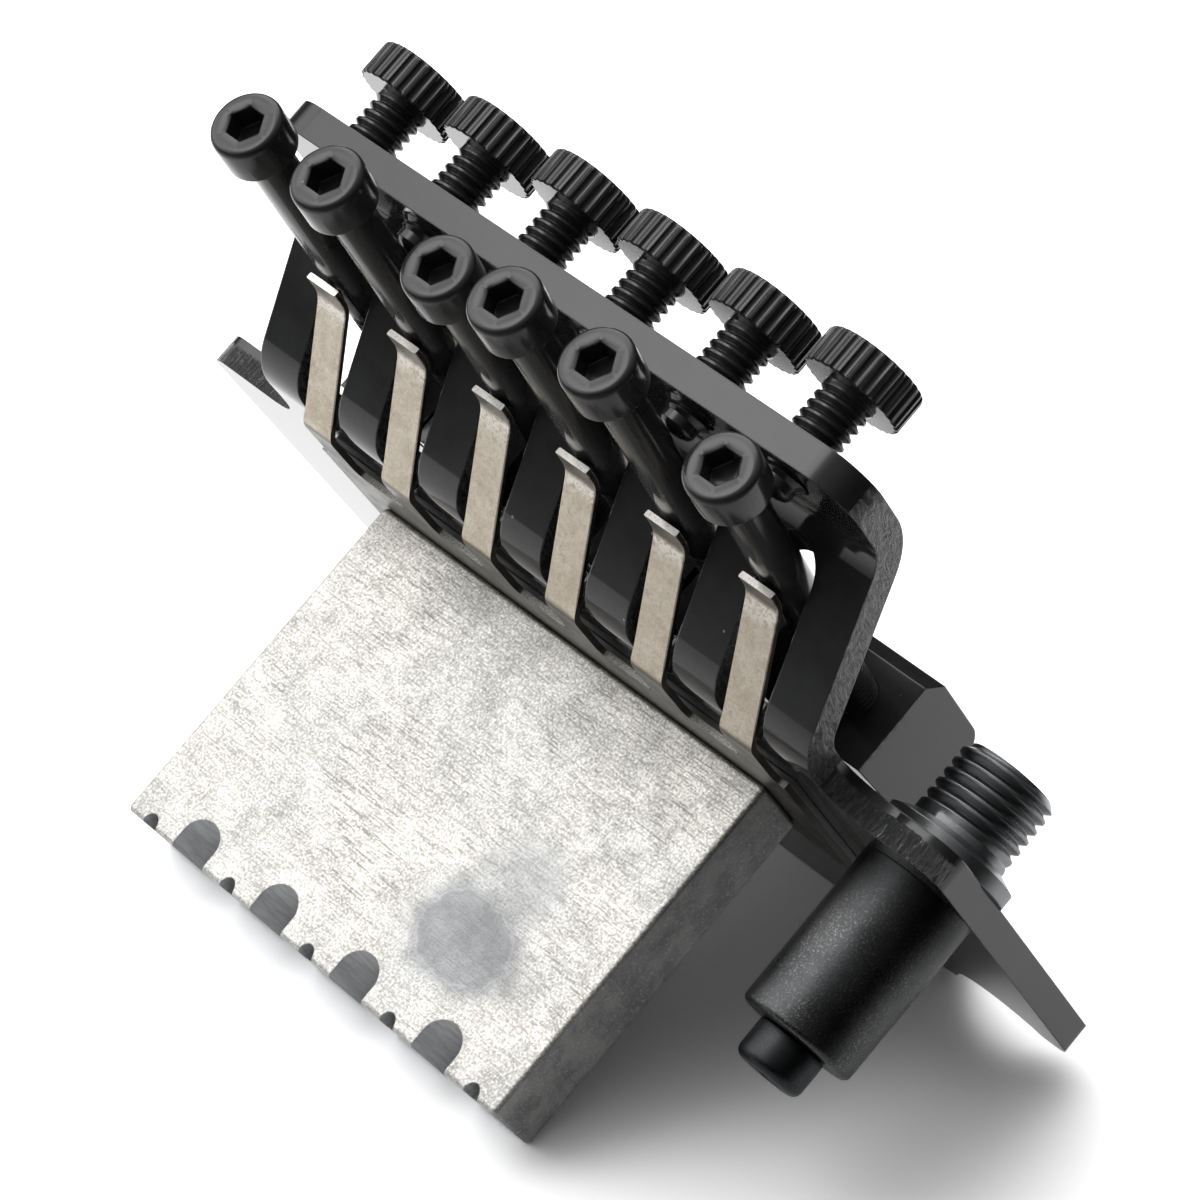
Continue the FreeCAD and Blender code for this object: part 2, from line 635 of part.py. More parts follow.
def make_saddle(index):
    rear = SADDLE_REAR + setback(index)
    x = string_x(index)
    half = SADDLE_WIDTH / 2
    foot_y = rear + SADDLE_PIVOT
    crest_y = rear + SADDLE_CREST
    outline = [
        (rear, PLATE_TOP + SADDLE_REAR_LIFT),
        (rear, SADDLE_TOP - SADDLE_REAR_CHAMFER_RISE),
        (rear + SADDLE_REAR_CHAMFER_RUN, SADDLE_TOP),
        (crest_y, SADDLE_TOP),
        (rear + SADDLE_NOSE, SADDLE_TONGUE_TOP),
        (rear + SADDLE_LENGTH, SADDLE_TONGUE_TOP),
        (rear + SADDLE_LENGTH, PLATE_TOP + SADDLE_FRONT_LIFT),
        (foot_y + ROCKER_RADIUS, PIVOT_Z),
        (foot_y, PIVOT_Z),
        (foot_y - ROCKER_RADIUS, PIVOT_Z),
    ]
    saddle = prism_along_x(outline, x - half, x + half)
    rocker = Part.makeCylinder(ROCKER_RADIUS, SADDLE_WIDTH, Vector(x - half, foot_y, PIVOT_Z), X_AXIS)
    lower_half = box_between(
        (x - half, foot_y - ROCKER_RADIUS, PLATE_BOTTOM), (x + half, foot_y + ROCKER_RADIUS, PIVOT_Z)
    )
    saddle = saddle.fuse(rocker.common(lower_half)).removeSplitter()
    crest = [
        edge
        for edge in saddle.Edges
        if abs(edge.CenterOfMass.y - crest_y) < SEAT_GAP and abs(edge.CenterOfMass.z - SADDLE_TOP) < SEAT_GAP
    ]
    saddle = saddle.makeFillet(SADDLE_CREST_RADIUS, crest)
    for side in (-1, 1):
        edge_x = x + side * SADDLE_TONGUE_WIDTH / 2
        outer_x = x + side * (half + OVERRUN)
        waste = box_between(
            (min(edge_x, outer_x), rear + SADDLE_NOSE, PLATE_BOTTOM),
            (max(edge_x, outer_x), rear + SADDLE_LENGTH + OVERRUN, SADDLE_TOP),
        )
        saddle = saddle.cut(waste)
    pocket = box_between(
        (x - POCKET_WIDTH / 2, rear + POCKET_REAR, POCKET_FLOOR),
        (x + POCKET_WIDTH / 2, rear + POCKET_FRONT, SADDLE_TOP + OVERRUN),
    )
    string_slot = box_between(
        (x - STRING_SLOT_WIDTH / 2, rear + POCKET_REAR, STRING_SLOT_FLOOR),
        (x + STRING_SLOT_WIDTH / 2, rear + SADDLE_LENGTH, SADDLE_TOP + OVERRUN),
    )
    tongue_hole = Part.makeCylinder(
        TONGUE_HOLE_DIAMETER / 2, SADDLE_TOP, Vector(x, foot_y, PLATE_BOTTOM)
    )
    lock_hole = lock_placed(
        Part.makeCylinder(LOCK_DIAMETER / 2 + RUNNING_GAP, LOCK_HEAD_HEIGHT + LOCK_LENGTH), index, 0
    )
    return saddle.cut(pocket).cut(string_slot).cut(tongue_hole).cut(lock_hole)


def make_string_clamp(index):
    """Clamp block that the lock screw drives against the string."""
    rear = CLAMP_REAR + setback(index)
    half = POCKET_WIDTH / 2 - CLAMP_SIDE_GAP
    x = string_x(index)
    floor = POCKET_FLOOR + CONTACT_GAP
    return box_between((x - half, rear, floor), (x + half, rear + CLAMP_LENGTH, floor + CLAMP_HEIGHT))


def make_lock_screw(index):
    """Socket-head screw that clamps the string and carries the saddle's tail."""
    head_radius = LOCK_HEAD_DIAMETER / 2
    radius = LOCK_DIAMETER / 2
    end = LOCK_HEAD_HEIGHT + LOCK_LENGTH
    thread_end = end - LOCK_TIP_CHAMFER
    thread_start = thread_end - LOCK_THREAD_LENGTH
    outline = [
        (0, 0),
        (head_radius - LOCK_HEAD_CHAMFER, 0),
        (head_radius, LOCK_HEAD_CHAMFER),
        (head_radius, LOCK_HEAD_HEIGHT - LOCK_HEAD_CHAMFER),
        (head_radius - LOCK_HEAD_CHAMFER, LOCK_HEAD_HEIGHT),
        (radius + LOCK_NECK_RADIUS, LOCK_HEAD_HEIGHT),
        (radius, LOCK_HEAD_HEIGHT + LOCK_NECK_RADIUS),
        (radius, thread_start - LOCK_THREAD_PITCH),
    ]
    outline += thread_outline(radius, thread_start, thread_end, LOCK_THREAD_PITCH)
    outline += [(radius - LOCK_TIP_CHAMFER, end), (0, end)]
    screw = turned(outline).cut(hexagon(LOCK_KEY, 0, LOCK_KEY_DEPTH))
    return lock_placed(screw, index, 0)


def make_fine_tuner():
    """Knurled tuner screw with its tip at the origin, pointing down."""
    tip_radius = TUNER_TIP_DIAMETER / 2
    dome = TUNER_TIP_RADIUS - math.sqrt(TUNER_TIP_RADIUS**2 - tip_radius**2)
    radius = TUNER_DIAMETER / 2
    head_radius = TUNER_HEAD_DIAMETER / 2
    top = TUNER_LENGTH + TUNER_HEAD_HEIGHT
    rim_cut = TUNER_RIM_ROUND * (1 - math.sqrt(1 / 2))
    tip_points = []
    for share in (0, 1 / 3, 2 / 3, 1):
        r = tip_radius * share
        tip_points.append((r, TUNER_TIP_RADIUS - math.sqrt(TUNER_TIP_RADIUS**2 - r**2)))
    outline = tip_points + [(tip_radius, max(dome, TUNER_TIP_HEIGHT))]
    outline += thread_outline(radius, TUNER_TIP_HEIGHT + dome, TUNER_LENGTH, TUNER_THREAD_PITCH)
    outline += [
        (head_radius - TUNER_RIM_BEVEL, TUNER_LENGTH),
        (head_radius, TUNER_LENGTH + TUNER_RIM_BEVEL),
        (head_radius, top - TUNER_RIM_ROUND),
        (head_radius - rim_cut, top - rim_cut),
        (head_radius - TUNER_RIM_ROUND, top),
        (0, top),
    ]
    tuner = turned(outline)
    flutes = []
    for flute in range(TUNER_FLUTES):
        angle = 2 * math.pi * flute / TUNER_FLUTES
        place = Vector(head_radius * math.cos(angle), head_radius * math.sin(angle), TUNER_LENGTH)
        flutes.append(
            Part.makeCylinder(TUNER_FLUTE_DIAMETER / 2, TUNER_HEAD_HEIGHT - TUNER_FLUTE_STOP, place)
        )
    return tuner.cut(flutes)


def tuner_tip_z(index):
    """Height of one tuner's tip, just clear of the lock screw below it."""
    return lock_axis_z(index, TUNER_Y) + LOCK_DIAMETER / 2 / math.cos(lock_slope) + CONTACT_GAP


def make_saddle_screws():
    seat = SADDLE_TONGUE_TOP + CONTACT_GAP
    head_radius = SADDLE_SCREW_HEAD_DIAMETER / 2
    radius = SADDLE_SCREW_DIAMETER / 2
    top = seat + SADDLE_SCREW_HEAD_HEIGHT
    outline = [(0, PLATE_BOTTOM), (radius, PLATE_BOTTOM), (radius, seat), (head_radius, seat)]
    outline += [(head_radius, top - SEAT_GAP), (head_radius - SEAT_GAP, top), (0, top)]
    pattern = turned(outline).cut(hexagon(SADDLE_SCREW_KEY, top - SADDLE_SCREW_KEY_DEPTH, top))
    screws = []
    for index in range(STRINGS):
        screw = pattern.copy()
        screw.translate(Vector(string_x(index), saddle_screw_y(index), 0))
        screws.append(screw)
    return Part.makeCompound(screws)


def at_socket(shape):
    """Move a shape drawn on the Z axis to the arm socket."""
    shape.translate(Vector(SOCKET_X, SOCKET_Y, 0))
    return shape


def make_arm_socket():
    """Barrel and threaded post in one piece, bored for the arm."""
    barrel = BARREL_DIAMETER / 2
    post = POST_DIAMETER / 2
    bore = ARM_BORE_DIAMETER / 2
    screw_hole = TENSION_SCREW_DIAMETER / 2 + RUNNING_GAP
    thread_low = PLATE_TOP + SOCKET_NUT_HEIGHT + POST_COLLAR_GAP
    thread_high = POST_TOP - POST_TOP_CHAMFER
    outline = [
        (screw_hole, BARREL_BOTTOM),
        (barrel - BARREL_CHAMFER, BARREL_BOTTOM),
        (barrel, BARREL_BOTTOM + BARREL_CHAMFER),
        (barrel, BARREL_TOP),
        (post, BARREL_TOP),
        (post, thread_low - POST_COLLAR_GAP),
    ]
    outline += thread_outline(post, thread_low, thread_high, POST_THREAD_PITCH)
    outline += [
        (post - POST_TOP_CHAMFER, POST_TOP),
        (bore, POST_TOP),
        (bore, ARM_BORE_FLOOR),
        (screw_hole, ARM_BORE_FLOOR),
    ]
    return at_socket(turned(outline))


def make_socket_nut():
    """Round flange nut that holds the arm socket on the wing."""
    outer = SOCKET_NUT_DIAMETER / 2
    inner = POST_DIAMETER / 2 + RUNNING_GAP
    top = PLATE_TOP + SOCKET_NUT_HEIGHT
    outline = [(inner, PLATE_TOP), (outer, PLATE_TOP), (outer, top - SOCKET_NUT_RIM_RISE)]
    outline += [(outer - SOCKET_NUT_RIM_RUN, top), (inner, top)]
    return at_socket(turned(outline))


def make_tension_screw():
    """Socket-head screw in the bottom of the barrel that sets how freely the arm swings."""
    seat = BARREL_BOTTOM - SEAT_GAP
    face = seat - TENSION_SCREW_HEAD_HEIGHT
    head = TENSION_SCREW_HEAD_DIAMETER / 2
    radius = TENSION_SCREW_DIAMETER / 2
    chamfer = TENSION_SCREW_HEAD_CHAMFER
    outline = [(0, face), (head - chamfer, face), (head, face + chamfer), (head, seat)]
    outline += [(radius, seat), (radius, seat + TENSION_SCREW_LENGTH), (0, seat + TENSION_SCREW_LENGTH)]
    screw = turned(outline).cut(hexagon(TENSION_SCREW_KEY, face, face + TENSION_SCREW_KEY_DEPTH))
    return at_socket(screw)


def save(node, shape):
    """Write one piece and say how many solids it has and whether it is sound."""
    shape.exportStep("parts/" + node + ".step")
    print(node, len(shape.Solids), round(shape.Volume, 3), shape.isValid())


save("base_plate", make_base_plate())
save("sustain_block", make_sustain_block())
save("block_screws", make_block_screws())
save("spring_comb", make_spring_comb())
save("comb_backing", make_comb_backing())
save("saddle_screws", make_saddle_screws())
save("arm_socket", make_arm_socket())
save("socket_nut", make_socket_nut())
save("arm_tension_screw", make_tension_screw())
tuner_pattern = make_fine_tuner()
for string in range(STRINGS):
    number = str(string + 1)
    save("saddle_" + number, make_saddle(string))
    save("string_clamp_" + number, make_string_clamp(string))
    save("lock_screw_" + number, make_lock_screw(string))
    save("spring_finger_" + number, make_spring_finger(string))
    tuner = tuner_pattern.copy()
    tuner.translate(Vector(string_x(string), TUNER_Y, tuner_tip_z(string)))
    save("fine_tuner_" + number, tuner)
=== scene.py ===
"""Looks of a guitar tremolo bridge: finishes, cut threads, spring strips, floor, light and camera."""

import json
import math

import bmesh
import bpy
from mathutils import Matrix, Vector


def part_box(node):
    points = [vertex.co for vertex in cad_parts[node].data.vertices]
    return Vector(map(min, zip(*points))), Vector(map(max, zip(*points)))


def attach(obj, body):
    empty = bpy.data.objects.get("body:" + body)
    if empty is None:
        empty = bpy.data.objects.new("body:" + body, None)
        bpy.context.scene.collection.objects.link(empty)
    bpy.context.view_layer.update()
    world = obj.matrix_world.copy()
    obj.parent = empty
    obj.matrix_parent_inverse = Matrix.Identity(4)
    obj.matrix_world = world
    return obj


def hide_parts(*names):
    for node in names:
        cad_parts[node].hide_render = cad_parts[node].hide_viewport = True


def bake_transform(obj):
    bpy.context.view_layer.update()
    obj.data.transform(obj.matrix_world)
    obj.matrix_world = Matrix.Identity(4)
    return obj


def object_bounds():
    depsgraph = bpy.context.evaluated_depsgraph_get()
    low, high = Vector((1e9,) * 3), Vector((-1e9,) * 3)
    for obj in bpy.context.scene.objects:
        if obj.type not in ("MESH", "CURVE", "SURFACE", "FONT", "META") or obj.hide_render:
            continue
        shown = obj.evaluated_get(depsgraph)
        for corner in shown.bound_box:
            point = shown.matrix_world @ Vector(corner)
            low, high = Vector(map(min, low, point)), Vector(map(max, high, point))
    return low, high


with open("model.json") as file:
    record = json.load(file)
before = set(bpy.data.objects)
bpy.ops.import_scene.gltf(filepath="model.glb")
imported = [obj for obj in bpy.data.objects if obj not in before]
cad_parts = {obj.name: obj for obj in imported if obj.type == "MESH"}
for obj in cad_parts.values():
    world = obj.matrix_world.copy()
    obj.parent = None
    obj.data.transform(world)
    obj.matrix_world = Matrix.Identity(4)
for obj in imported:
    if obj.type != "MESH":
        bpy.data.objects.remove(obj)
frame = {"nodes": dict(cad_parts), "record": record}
cad_low, cad_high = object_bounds()
nodes = frame["nodes"]
scene = bpy.context.scene
MM = 0.001
STRINGS = range(1, 7)

# Sizes of the pieces that replace solids: the solids' own, and those of their finer detail
TUNER_DIAMETER = 4.8 * MM
TUNER_PITCH = 0.9 * MM
TUNER_TIP_DIAMETER = 3.4 * MM
TUNER_TIP_HEIGHT = 1.2 * MM
TUNER_HEAD_DIAMETER = 9.4 * MM
TUNER_HEAD_HEIGHT = 3.5 * MM
TUNER_RIM_ROUND = 0.45 * MM
TUNER_FLUTES = 28
TUNER_FLUTE_WIDTH = 0.74 * MM
TUNER_FLUTE_DEPTH = 0.22 * MM
TUNER_RUN_IN = 0.2 * MM
TUNER_TIP_CURVE = ((0, 0), (0.5, 0.12 * MM), (0.85, 0.36 * MM), (1, 0.62 * MM))
TUNER_SHANK_SUNK = 0.1 * MM
TUNER_FLAT = 0.9 * MM
TUNER_SEAT_EDGE = 0.15 * MM
LOCK_SLOPE = math.radians(3.0)
LOCK_HEAD_DIAMETER = 6.5 * MM
LOCK_HEAD_HEIGHT = 4.0 * MM
LOCK_HEAD_CHAMFER = 0.45 * MM
LOCK_HEAD_ROUND = 0.6 * MM
LOCK_NECK_ROUND = 0.8 * MM
LOCK_DIAMETER = 4.0 * MM
LOCK_LENGTH = 40.0 * MM
LOCK_KEY = 3.0 * MM
LOCK_KEY_DEPTH = 2.2 * MM
LOCK_PITCH = 0.7 * MM
LOCK_THREAD_LENGTH = 16.0 * MM
LOCK_TIP_CHAMFER = 0.9 * MM
BARREL_DIAMETER = 11.2 * MM
BARREL_LENGTH = 16.4 * MM
BARREL_ROUND = 0.6 * MM
POST_DIAMETER = 9.4 * MM
POST_PITCH = 1.1 * MM
POST_THREAD_LENGTH = 6.9 * MM
POST_CHAMFER = 0.6 * MM
ARM_BORE_DIAMETER = 6.0 * MM
ARM_BORE_DEPTH = 23.4 * MM
BORE_CHAMFER = 0.4 * MM
TENSION_HOLE_DIAMETER = 4.1 * MM
TENSION_HEAD_DIAMETER = 6.6 * MM
TENSION_HEAD_HEIGHT = 3.8 * MM
TENSION_HEAD_ROUND = 0.9 * MM
TENSION_DIAMETER = 4.0 * MM
TENSION_PITCH = 0.7 * MM
TENSION_NECK = 0.5 * MM
TENSION_KEY = 3.0 * MM
TENSION_KEY_DEPTH = 2.0 * MM
SOCKET_CHAMFER = 0.12 * MM
SOCKET_POINT = 0.3 * MM
THREAD_DEPTH = 0.55
THREAD_CREST = 0.12
LEAF_THICKNESS = 0.6 * MM
LEAF_EDGE = 0.09 * MM
FINGER_WIDTH = 3.7 * MM
FINGER_FOOT = Vector((-47.6, -2.4)) * MM
FINGER_FOOT_RADIUS = 1.8 * MM
FINGER_LEAVE = math.radians(39.5)
FINGER_TIP_ANGLE = math.radians(2.0)
FINGER_TIP_Y = -60.9 * MM
FINGER_BEND_RADIUS = 3.1 * MM

# How finely these pieces are divided and joined
TUNER_COLUMNS = 48
FLUTE_COLUMNS = 8
SCREW_COLUMNS = 72
POST_COLUMNS = 96
STRIP_STRAIGHT_STEPS = 9
STRIP_BEND_STEPS = 12
WELD_DISTANCE = 0.0005 * MM
SHARP_ANGLE = math.radians(32)

# Reach of the arched notches in the block's lower edge, up and to the sides
NOTCH_TOP = -34.8 * MM
NOTCH_REACH = 24.0 * MM


# Camera, at the photograph's angle

VIEW = Vector((-0.535, 0.837, 0.115)).normalized()
TOP_OF_PICTURE = Vector((-0.497, -0.421, 0.759))
CAMERA_PLACE = Vector((191.8, -335.7, -39.4)) * MM
SENSOR_WIDTH = 36.0
FOCAL_LENGTH = 122.19
CLIP_START = 0.01
CLIP_END = 20.0
RIGHT = VIEW.cross(TOP_OF_PICTURE).normalized()
UP = RIGHT.cross(VIEW)
camera_data = bpy.data.cameras.new("camera")
camera_data.sensor_width = SENSOR_WIDTH
camera_data.lens = FOCAL_LENGTH
camera_data.clip_start = CLIP_START
camera_data.clip_end = CLIP_END
camera = bpy.data.objects.new("camera", camera_data)
turned = Matrix((RIGHT, UP, -VIEW)).transposed().to_4x4()
camera.matrix_world = Matrix.Translation(CAMERA_PLACE) @ turned
scene.collection.objects.link(camera)
scene.camera = camera


# Node helpers


class Graph:
    """Short calls for the nodes of a material or of the world."""

    def __init__(self, tree):
        self.tree = tree

    def plug(self, socket, value):
        if isinstance(value, bpy.types.NodeSocket):
            self.tree.links.new(value, socket)
        else:
            socket.default_value = value

    def node(self, kind, inputs=(), **settings):
        made = self.tree.nodes.new(kind)
        for key, value in settings.items():
            setattr(made, key, value)
        for key, value in dict(inputs).items():
            self.plug(made.inputs[key], value)
        return made

    def math(self, operation, a, b=0.0):
        return self.node("ShaderNodeMath", {0: a, 1: b}, operation=operation).outputs[0]

    def dot(self, a, b):
        return self.node("ShaderNodeVectorMath", {0: a, 1: b}, operation="DOT_PRODUCT").outputs["Value"]

    def span(self, value, low, high, to_low=0.0, to_high=1.0):
        """A value's stretch from low to high, mapped smoothly to another one."""
        limits = {"Value": value, "From Min": low, "From Max": high, "To Min": to_low, "To Max": to_high}
        return self.node("ShaderNodeMapRange", limits, interpolation_type="SMOOTHSTEP").outputs["Result"]

    def blend(self, share, a, b):
        return self.node("ShaderNodeMix", {0: share, 6: a, 7: b}, data_type="RGBA").outputs[2]

    def parts(self, vector):
        made = self.node("ShaderNodeSeparateXYZ", {"Vector": vector})
        return made.outputs["X"], made.outputs["Y"], made.outputs["Z"]


class Finish(Graph):
    """One procedural material on the principled shader."""

    def __init__(self, name):
        self.material = bpy.data.materials.new(name)
        self.material.use_nodes = True
        super().__init__(self.material.node_tree)
        self.shader = self.tree.nodes["Principled BSDF"]
        coordinates = self.node("ShaderNodeTexCoord")
        self.place = coordinates.outputs["Object"]
        self.facing = coordinates.outputs["Normal"]

    def set(self, **values):
        for key, value in values.items():
            self.plug(self.shader.inputs[key.replace("_", " ")], value)

    def now(self, key):
        """What is plugged into an input of the shader."""
        return self.shader.inputs[key].links[0].from_socket

    def stretched(self, stretch, turn=(0, 0, 0)):
        inputs = {"Vector": self.place, "Scale": stretch, "Rotation": turn}
        return self.node("ShaderNodeMapping", inputs).outputs[0]

    def noise(self, scale, detail=4.0, rough=0.55, at=None, warp=0.0):
        inputs = {"Vector": at or self.place, "Scale": scale, "Detail": detail}
        inputs.update({"Roughness": rough, "Distortion": warp})
        return self.node("ShaderNodeTexNoise", inputs).outputs["Fac"]

    def cells(self, scale):
        made = self.node("ShaderNodeTexVoronoi", {"Vector": self.place, "Scale": scale})
        return made.outputs["Distance"], made.outputs["Color"]

    def rounded(self, radius):
        return self.node("ShaderNodeBevel", {"Radius": radius}, samples=6).outputs["Normal"]

    def edge(self, radius):
        """1 along edges, 0 on faces."""
        flat = self.node("ShaderNodeNewGeometry").outputs["Normal"]
        return self.span(self.dot(self.rounded(radius), flat), 0.995, 0.80)

    def oval(self, x, z, middle_x, middle_z, reach_x, reach_z, wobble):
        """Distance from an oval's middle in the X-Z plane, 1 on its wobbly outline."""
        right = self.math("DIVIDE", self.math("SUBTRACT", x, middle_x), reach_x)
        up = self.math("DIVIDE", self.math("SUBTRACT", z, middle_z), reach_z)
        squares = self.math("ADD", self.math("MULTIPLY", right, right), self.math("MULTIPLY", up, up))
        return self.math("ADD", self.math("SQRT", squares), wobble)

    def bump(self, height, strength, distance, normal):
        inputs = {"Height": height, "Strength": strength, "Distance": distance, "Normal": normal}
        return self.node("ShaderNodeBump", inputs).outputs["Normal"]

    def specks(self, scale, share, size):
        """Sparse small dust specks, 1 where one lies."""
        near, tint = self.cells(scale)
        chosen = self.span(self.parts(tint)[0], 1 - share, 1 - share + 0.01)
        return self.math("MULTIPLY", chosen, self.span(near, size, size / 2))


def grey(value, warm=0.0):
    return (value * (1 + warm), value, value * (1 - warm), 1.0)


# Colours of the finishes

DUST = grey(0.40)
# Painted highlight along the edges of the black finishes
EDGE_HIGHLIGHT_BLACK = grey(0.20, 0.01)
TORN_BLACK = grey(0.13)
OXIDE_DARK = grey(0.064, -0.04)
OXIDE_LIGHT = grey(0.095, -0.02)
OXIDE_FLECK = grey(0.30, 0.05)
OXIDE_PIT = grey(0.020)
OXIDE_SHADED = grey(0.024, -0.03)
OXIDE_THREAD = grey(0.34, -0.03)
OXIDE_SCREW = grey(0.030, -0.08)
OXIDE_EDGE = grey(0.32)
NICKEL_DARK = (0.51, 0.44, 0.35, 1)
NICKEL_LIGHT = (0.70, 0.635, 0.535, 1)
NICKEL_SPOT = (0.33, 0.28, 0.22, 1)
NICKEL_PALE = (0.78, 0.74, 0.67, 1)
NICKEL_SPECK = (0.30, 0.26, 0.21, 1)
NICKEL_DRAWN = (0.86, 0.82, 0.75, 1)
# Lighter patches in a band below the strips' top bend
NICKEL_BAND_TONE = (0.88, 0.85, 0.80, 1)
# Painted shade on the side faces of the strips and the comb
NICKEL_SIDE_SHADE = (0.10, 0.095, 0.08, 1)
# Painted shade in the crevice under the plate and on faces that look down
NICKEL_SHADE = (0.05, 0.047, 0.04, 1)
# Painted highlight on faces that look back
NICKEL_BACK_HIGHLIGHT = (0.92, 0.90, 0.86, 1)
ZINC_GREY = (0.69, 0.685, 0.665, 1)
ZINC_CREAM = (0.81, 0.785, 0.735, 1)
ZINC_MOTTLE = (0.58, 0.575, 0.56, 1)
ZINC_BLUE = (0.52, 0.535, 0.55, 1)
# Painted shade near the plate, warm
ZINC_TOP_SHADE = (0.66, 0.63, 0.56, 1)
ZINC_PIT = (0.36, 0.345, 0.315, 1)
ZINC_BRUSHED = (0.32, 0.31, 0.285, 1)
ZINC_SPARK = (0.98, 0.965, 0.94, 1)
STAIN_HAZE = (0.43, 0.44, 0.455, 1)
STAIN_DARK = (0.26, 0.265, 0.275, 1)
STAIN_RIM = (0.74, 0.74, 0.74, 1)
CAST_DARK = (0.25, 0.25, 0.25, 1)
CAST_LIGHT = (0.46, 0.46, 0.455, 1)
CAST_SPARK = (0.75, 0.74, 0.72, 1)
NOTCH_DARK = (0.54, 0.55, 0.56, 1)
NOTCH_LIGHT = (0.70, 0.71, 0.72, 1)

# Limits of the plate's torn edges, and how the tears turn with the wall

PLATE_EDGE_Z = (0.8 * MM, 0.3 * MM)
PLATE_REAR_Y = -47.5 * MM
PLATE_SIDE_Y = -46.0 * MM
PLATE_TEAR_TURN = (math.radians(-53), 0, 0)

# Where a colour comes in: the start and the end of the change

SOCKET_SHADE_Z = (-10.0 * MM, -3.0 * MM)
SOCKET_THREAD_Z = (0.5 * MM, 1.5 * MM)
SOCKET_SCREW_Z = (-17.8 * MM, -18.1 * MM)
# Band below the strips' top bend that is lighter in patches
STRIP_LIGHT_BAND_LOW_Z = (4.6 * MM, 5.6 * MM)
STRIP_LIGHT_BAND_HIGH_Z = (7.0 * MM, 6.2 * MM)
# Reach along Y of the painted shade in the crevice under the plate
COMB_SHADE_Y = (-48.2 * MM, -45.5 * MM)
# Where the painted highlight fades on the comb's rear edges
COMB_HIGHLIGHT_Y = (-41.0 * MM, -42.5 * MM)
# Painted shade on the block's top, under the plate
BLOCK_TOP_SHADE_Z = (-15.0 * MM, -3.0 * MM)

# Stain on the block: its middle along X and Z, then its reach along them

STAIN_OVAL = (11.2 * MM, -28.8 * MM, 6.2 * MM, 4.9 * MM)
STAIN_TAIL = (12.2 * MM, -22.6 * MM, 3.8 * MM, 4.2 * MM)
STAIN_RIM_REACH = 0.84


# Finishes


def black_finish(name, level=0.026, smooth=0.16, rough=0.26, grain=0.2, round_radius=0.2 * MM, coat=0.12):
    """Black plating under clear gloss: faint clouding, hairlines, dust and a painted highlight in patches
    along the edges.
    """
    f = Finish(name)
    cloud = f.noise(160.0, 5.0, 0.6)
    fine = f.noise(2600.0, 3.0)
    hairs = f.noise(1.0, 3.0, 0.6, at=f.stretched((380.0, 9000.0, 5000.0), (0.5, 0.2, 0.4)))
    dust = f.specks(700.0, 0.05, 0.12)
    # Painted highlight: lighter in patches along the edges
    edge_highlight = f.math("MULTIPLY", f.edge(0.2 * MM), f.span(f.noise(900.0), 0.42, 0.68))
    colour = f.blend(f.span(cloud, 0.3, 0.7), grey(level * 0.8), grey(level * 1.25, -0.03))
    colour = f.blend(f.math("MULTIPLY", edge_highlight, 0.4), colour, EDGE_HIGHLIGHT_BLACK)
    colour = f.blend(f.math("MULTIPLY", dust, 0.6), colour, DUST)
    gloss = f.span(cloud, 0.25, 0.75, smooth, rough)
    gloss = f.math("ADD", gloss, f.span(hairs, 0.55, 0.8, 0.0, 0.08))
    gloss = f.math("ADD", gloss, f.math("MULTIPLY", dust, 0.4))
    soft = f.rounded(round_radius)
    normal = f.bump(fine, grain, 0.02 * MM, soft)
    normal = f.bump(hairs, 0.12, 0.02 * MM, normal)
    skin = f.bump(fine, grain * 0.35, 0.02 * MM, soft)
    f.set(Base_Color=colour, Metallic=0.0, Specular_IOR_Level=0.0, Roughness=gloss, Normal=normal)
    f.set(Coat_Weight=1.0, Coat_Roughness=coat, Coat_IOR=1.55, Coat_Normal=skin)
    return f


def plate_finish():
    """Gloss black sheet whose sheared rear and side edges are torn under the black."""
    f = black_finish("plate_black", smooth=0.14, rough=0.24, grain=0.10, coat=0.09)
    y, z = f.parts(f.place)[1:]
    nx, ny, nz = f.parts(f.facing)
    upright = f.math("LESS_THAN", f.math("ABSOLUTE", nz), 0.35)
    rear = f.math("MULTIPLY", f.math("LESS_THAN", ny, -0.25), upright)
    rear = f.math("MULTIPLY", rear, f.span(z, *PLATE_EDGE_Z))
    rear = f.math("MULTIPLY", rear, f.math("GREATER_THAN", y, PLATE_REAR_Y))
    side = f.math("GREATER_THAN", f.math("ABSOLUTE", nx), 0.9)
    side = f.math("MULTIPLY", side, f.math("LESS_THAN", y, PLATE_SIDE_Y))
    across = f.noise(1.0, 5.0, 0.65, at=f.stretched((3000.0, 3000.0, 750.0)), warp=1.0)
    slanted = f.stretched((300.0, 700.0, 1500.0), PLATE_TEAR_TURN)
    along = f.noise(1.0, 5.0, 0.7, at=slanted, warp=0.9)
    sheared = f.math("MAXIMUM", rear, side)
    tears = f.math("MULTIPLY", f.span(f.blend(side, across, along), 0.38, 0.70), sheared)
    f.set(Normal=f.bump(tears, 0.8, 0.13 * MM, f.now("Normal")))
    f.set(Coat_Normal=f.bump(tears, 0.8, 0.13 * MM, f.now("Coat Normal")))
    f.set(Roughness=f.math("ADD", f.now("Roughness"), f.math("MULTIPLY", sheared, 0.16)))
    f.set(Base_Color=f.blend(f.math("MULTIPLY", tears, 0.55), f.now("Base Color"), TORN_BLACK))
    return f


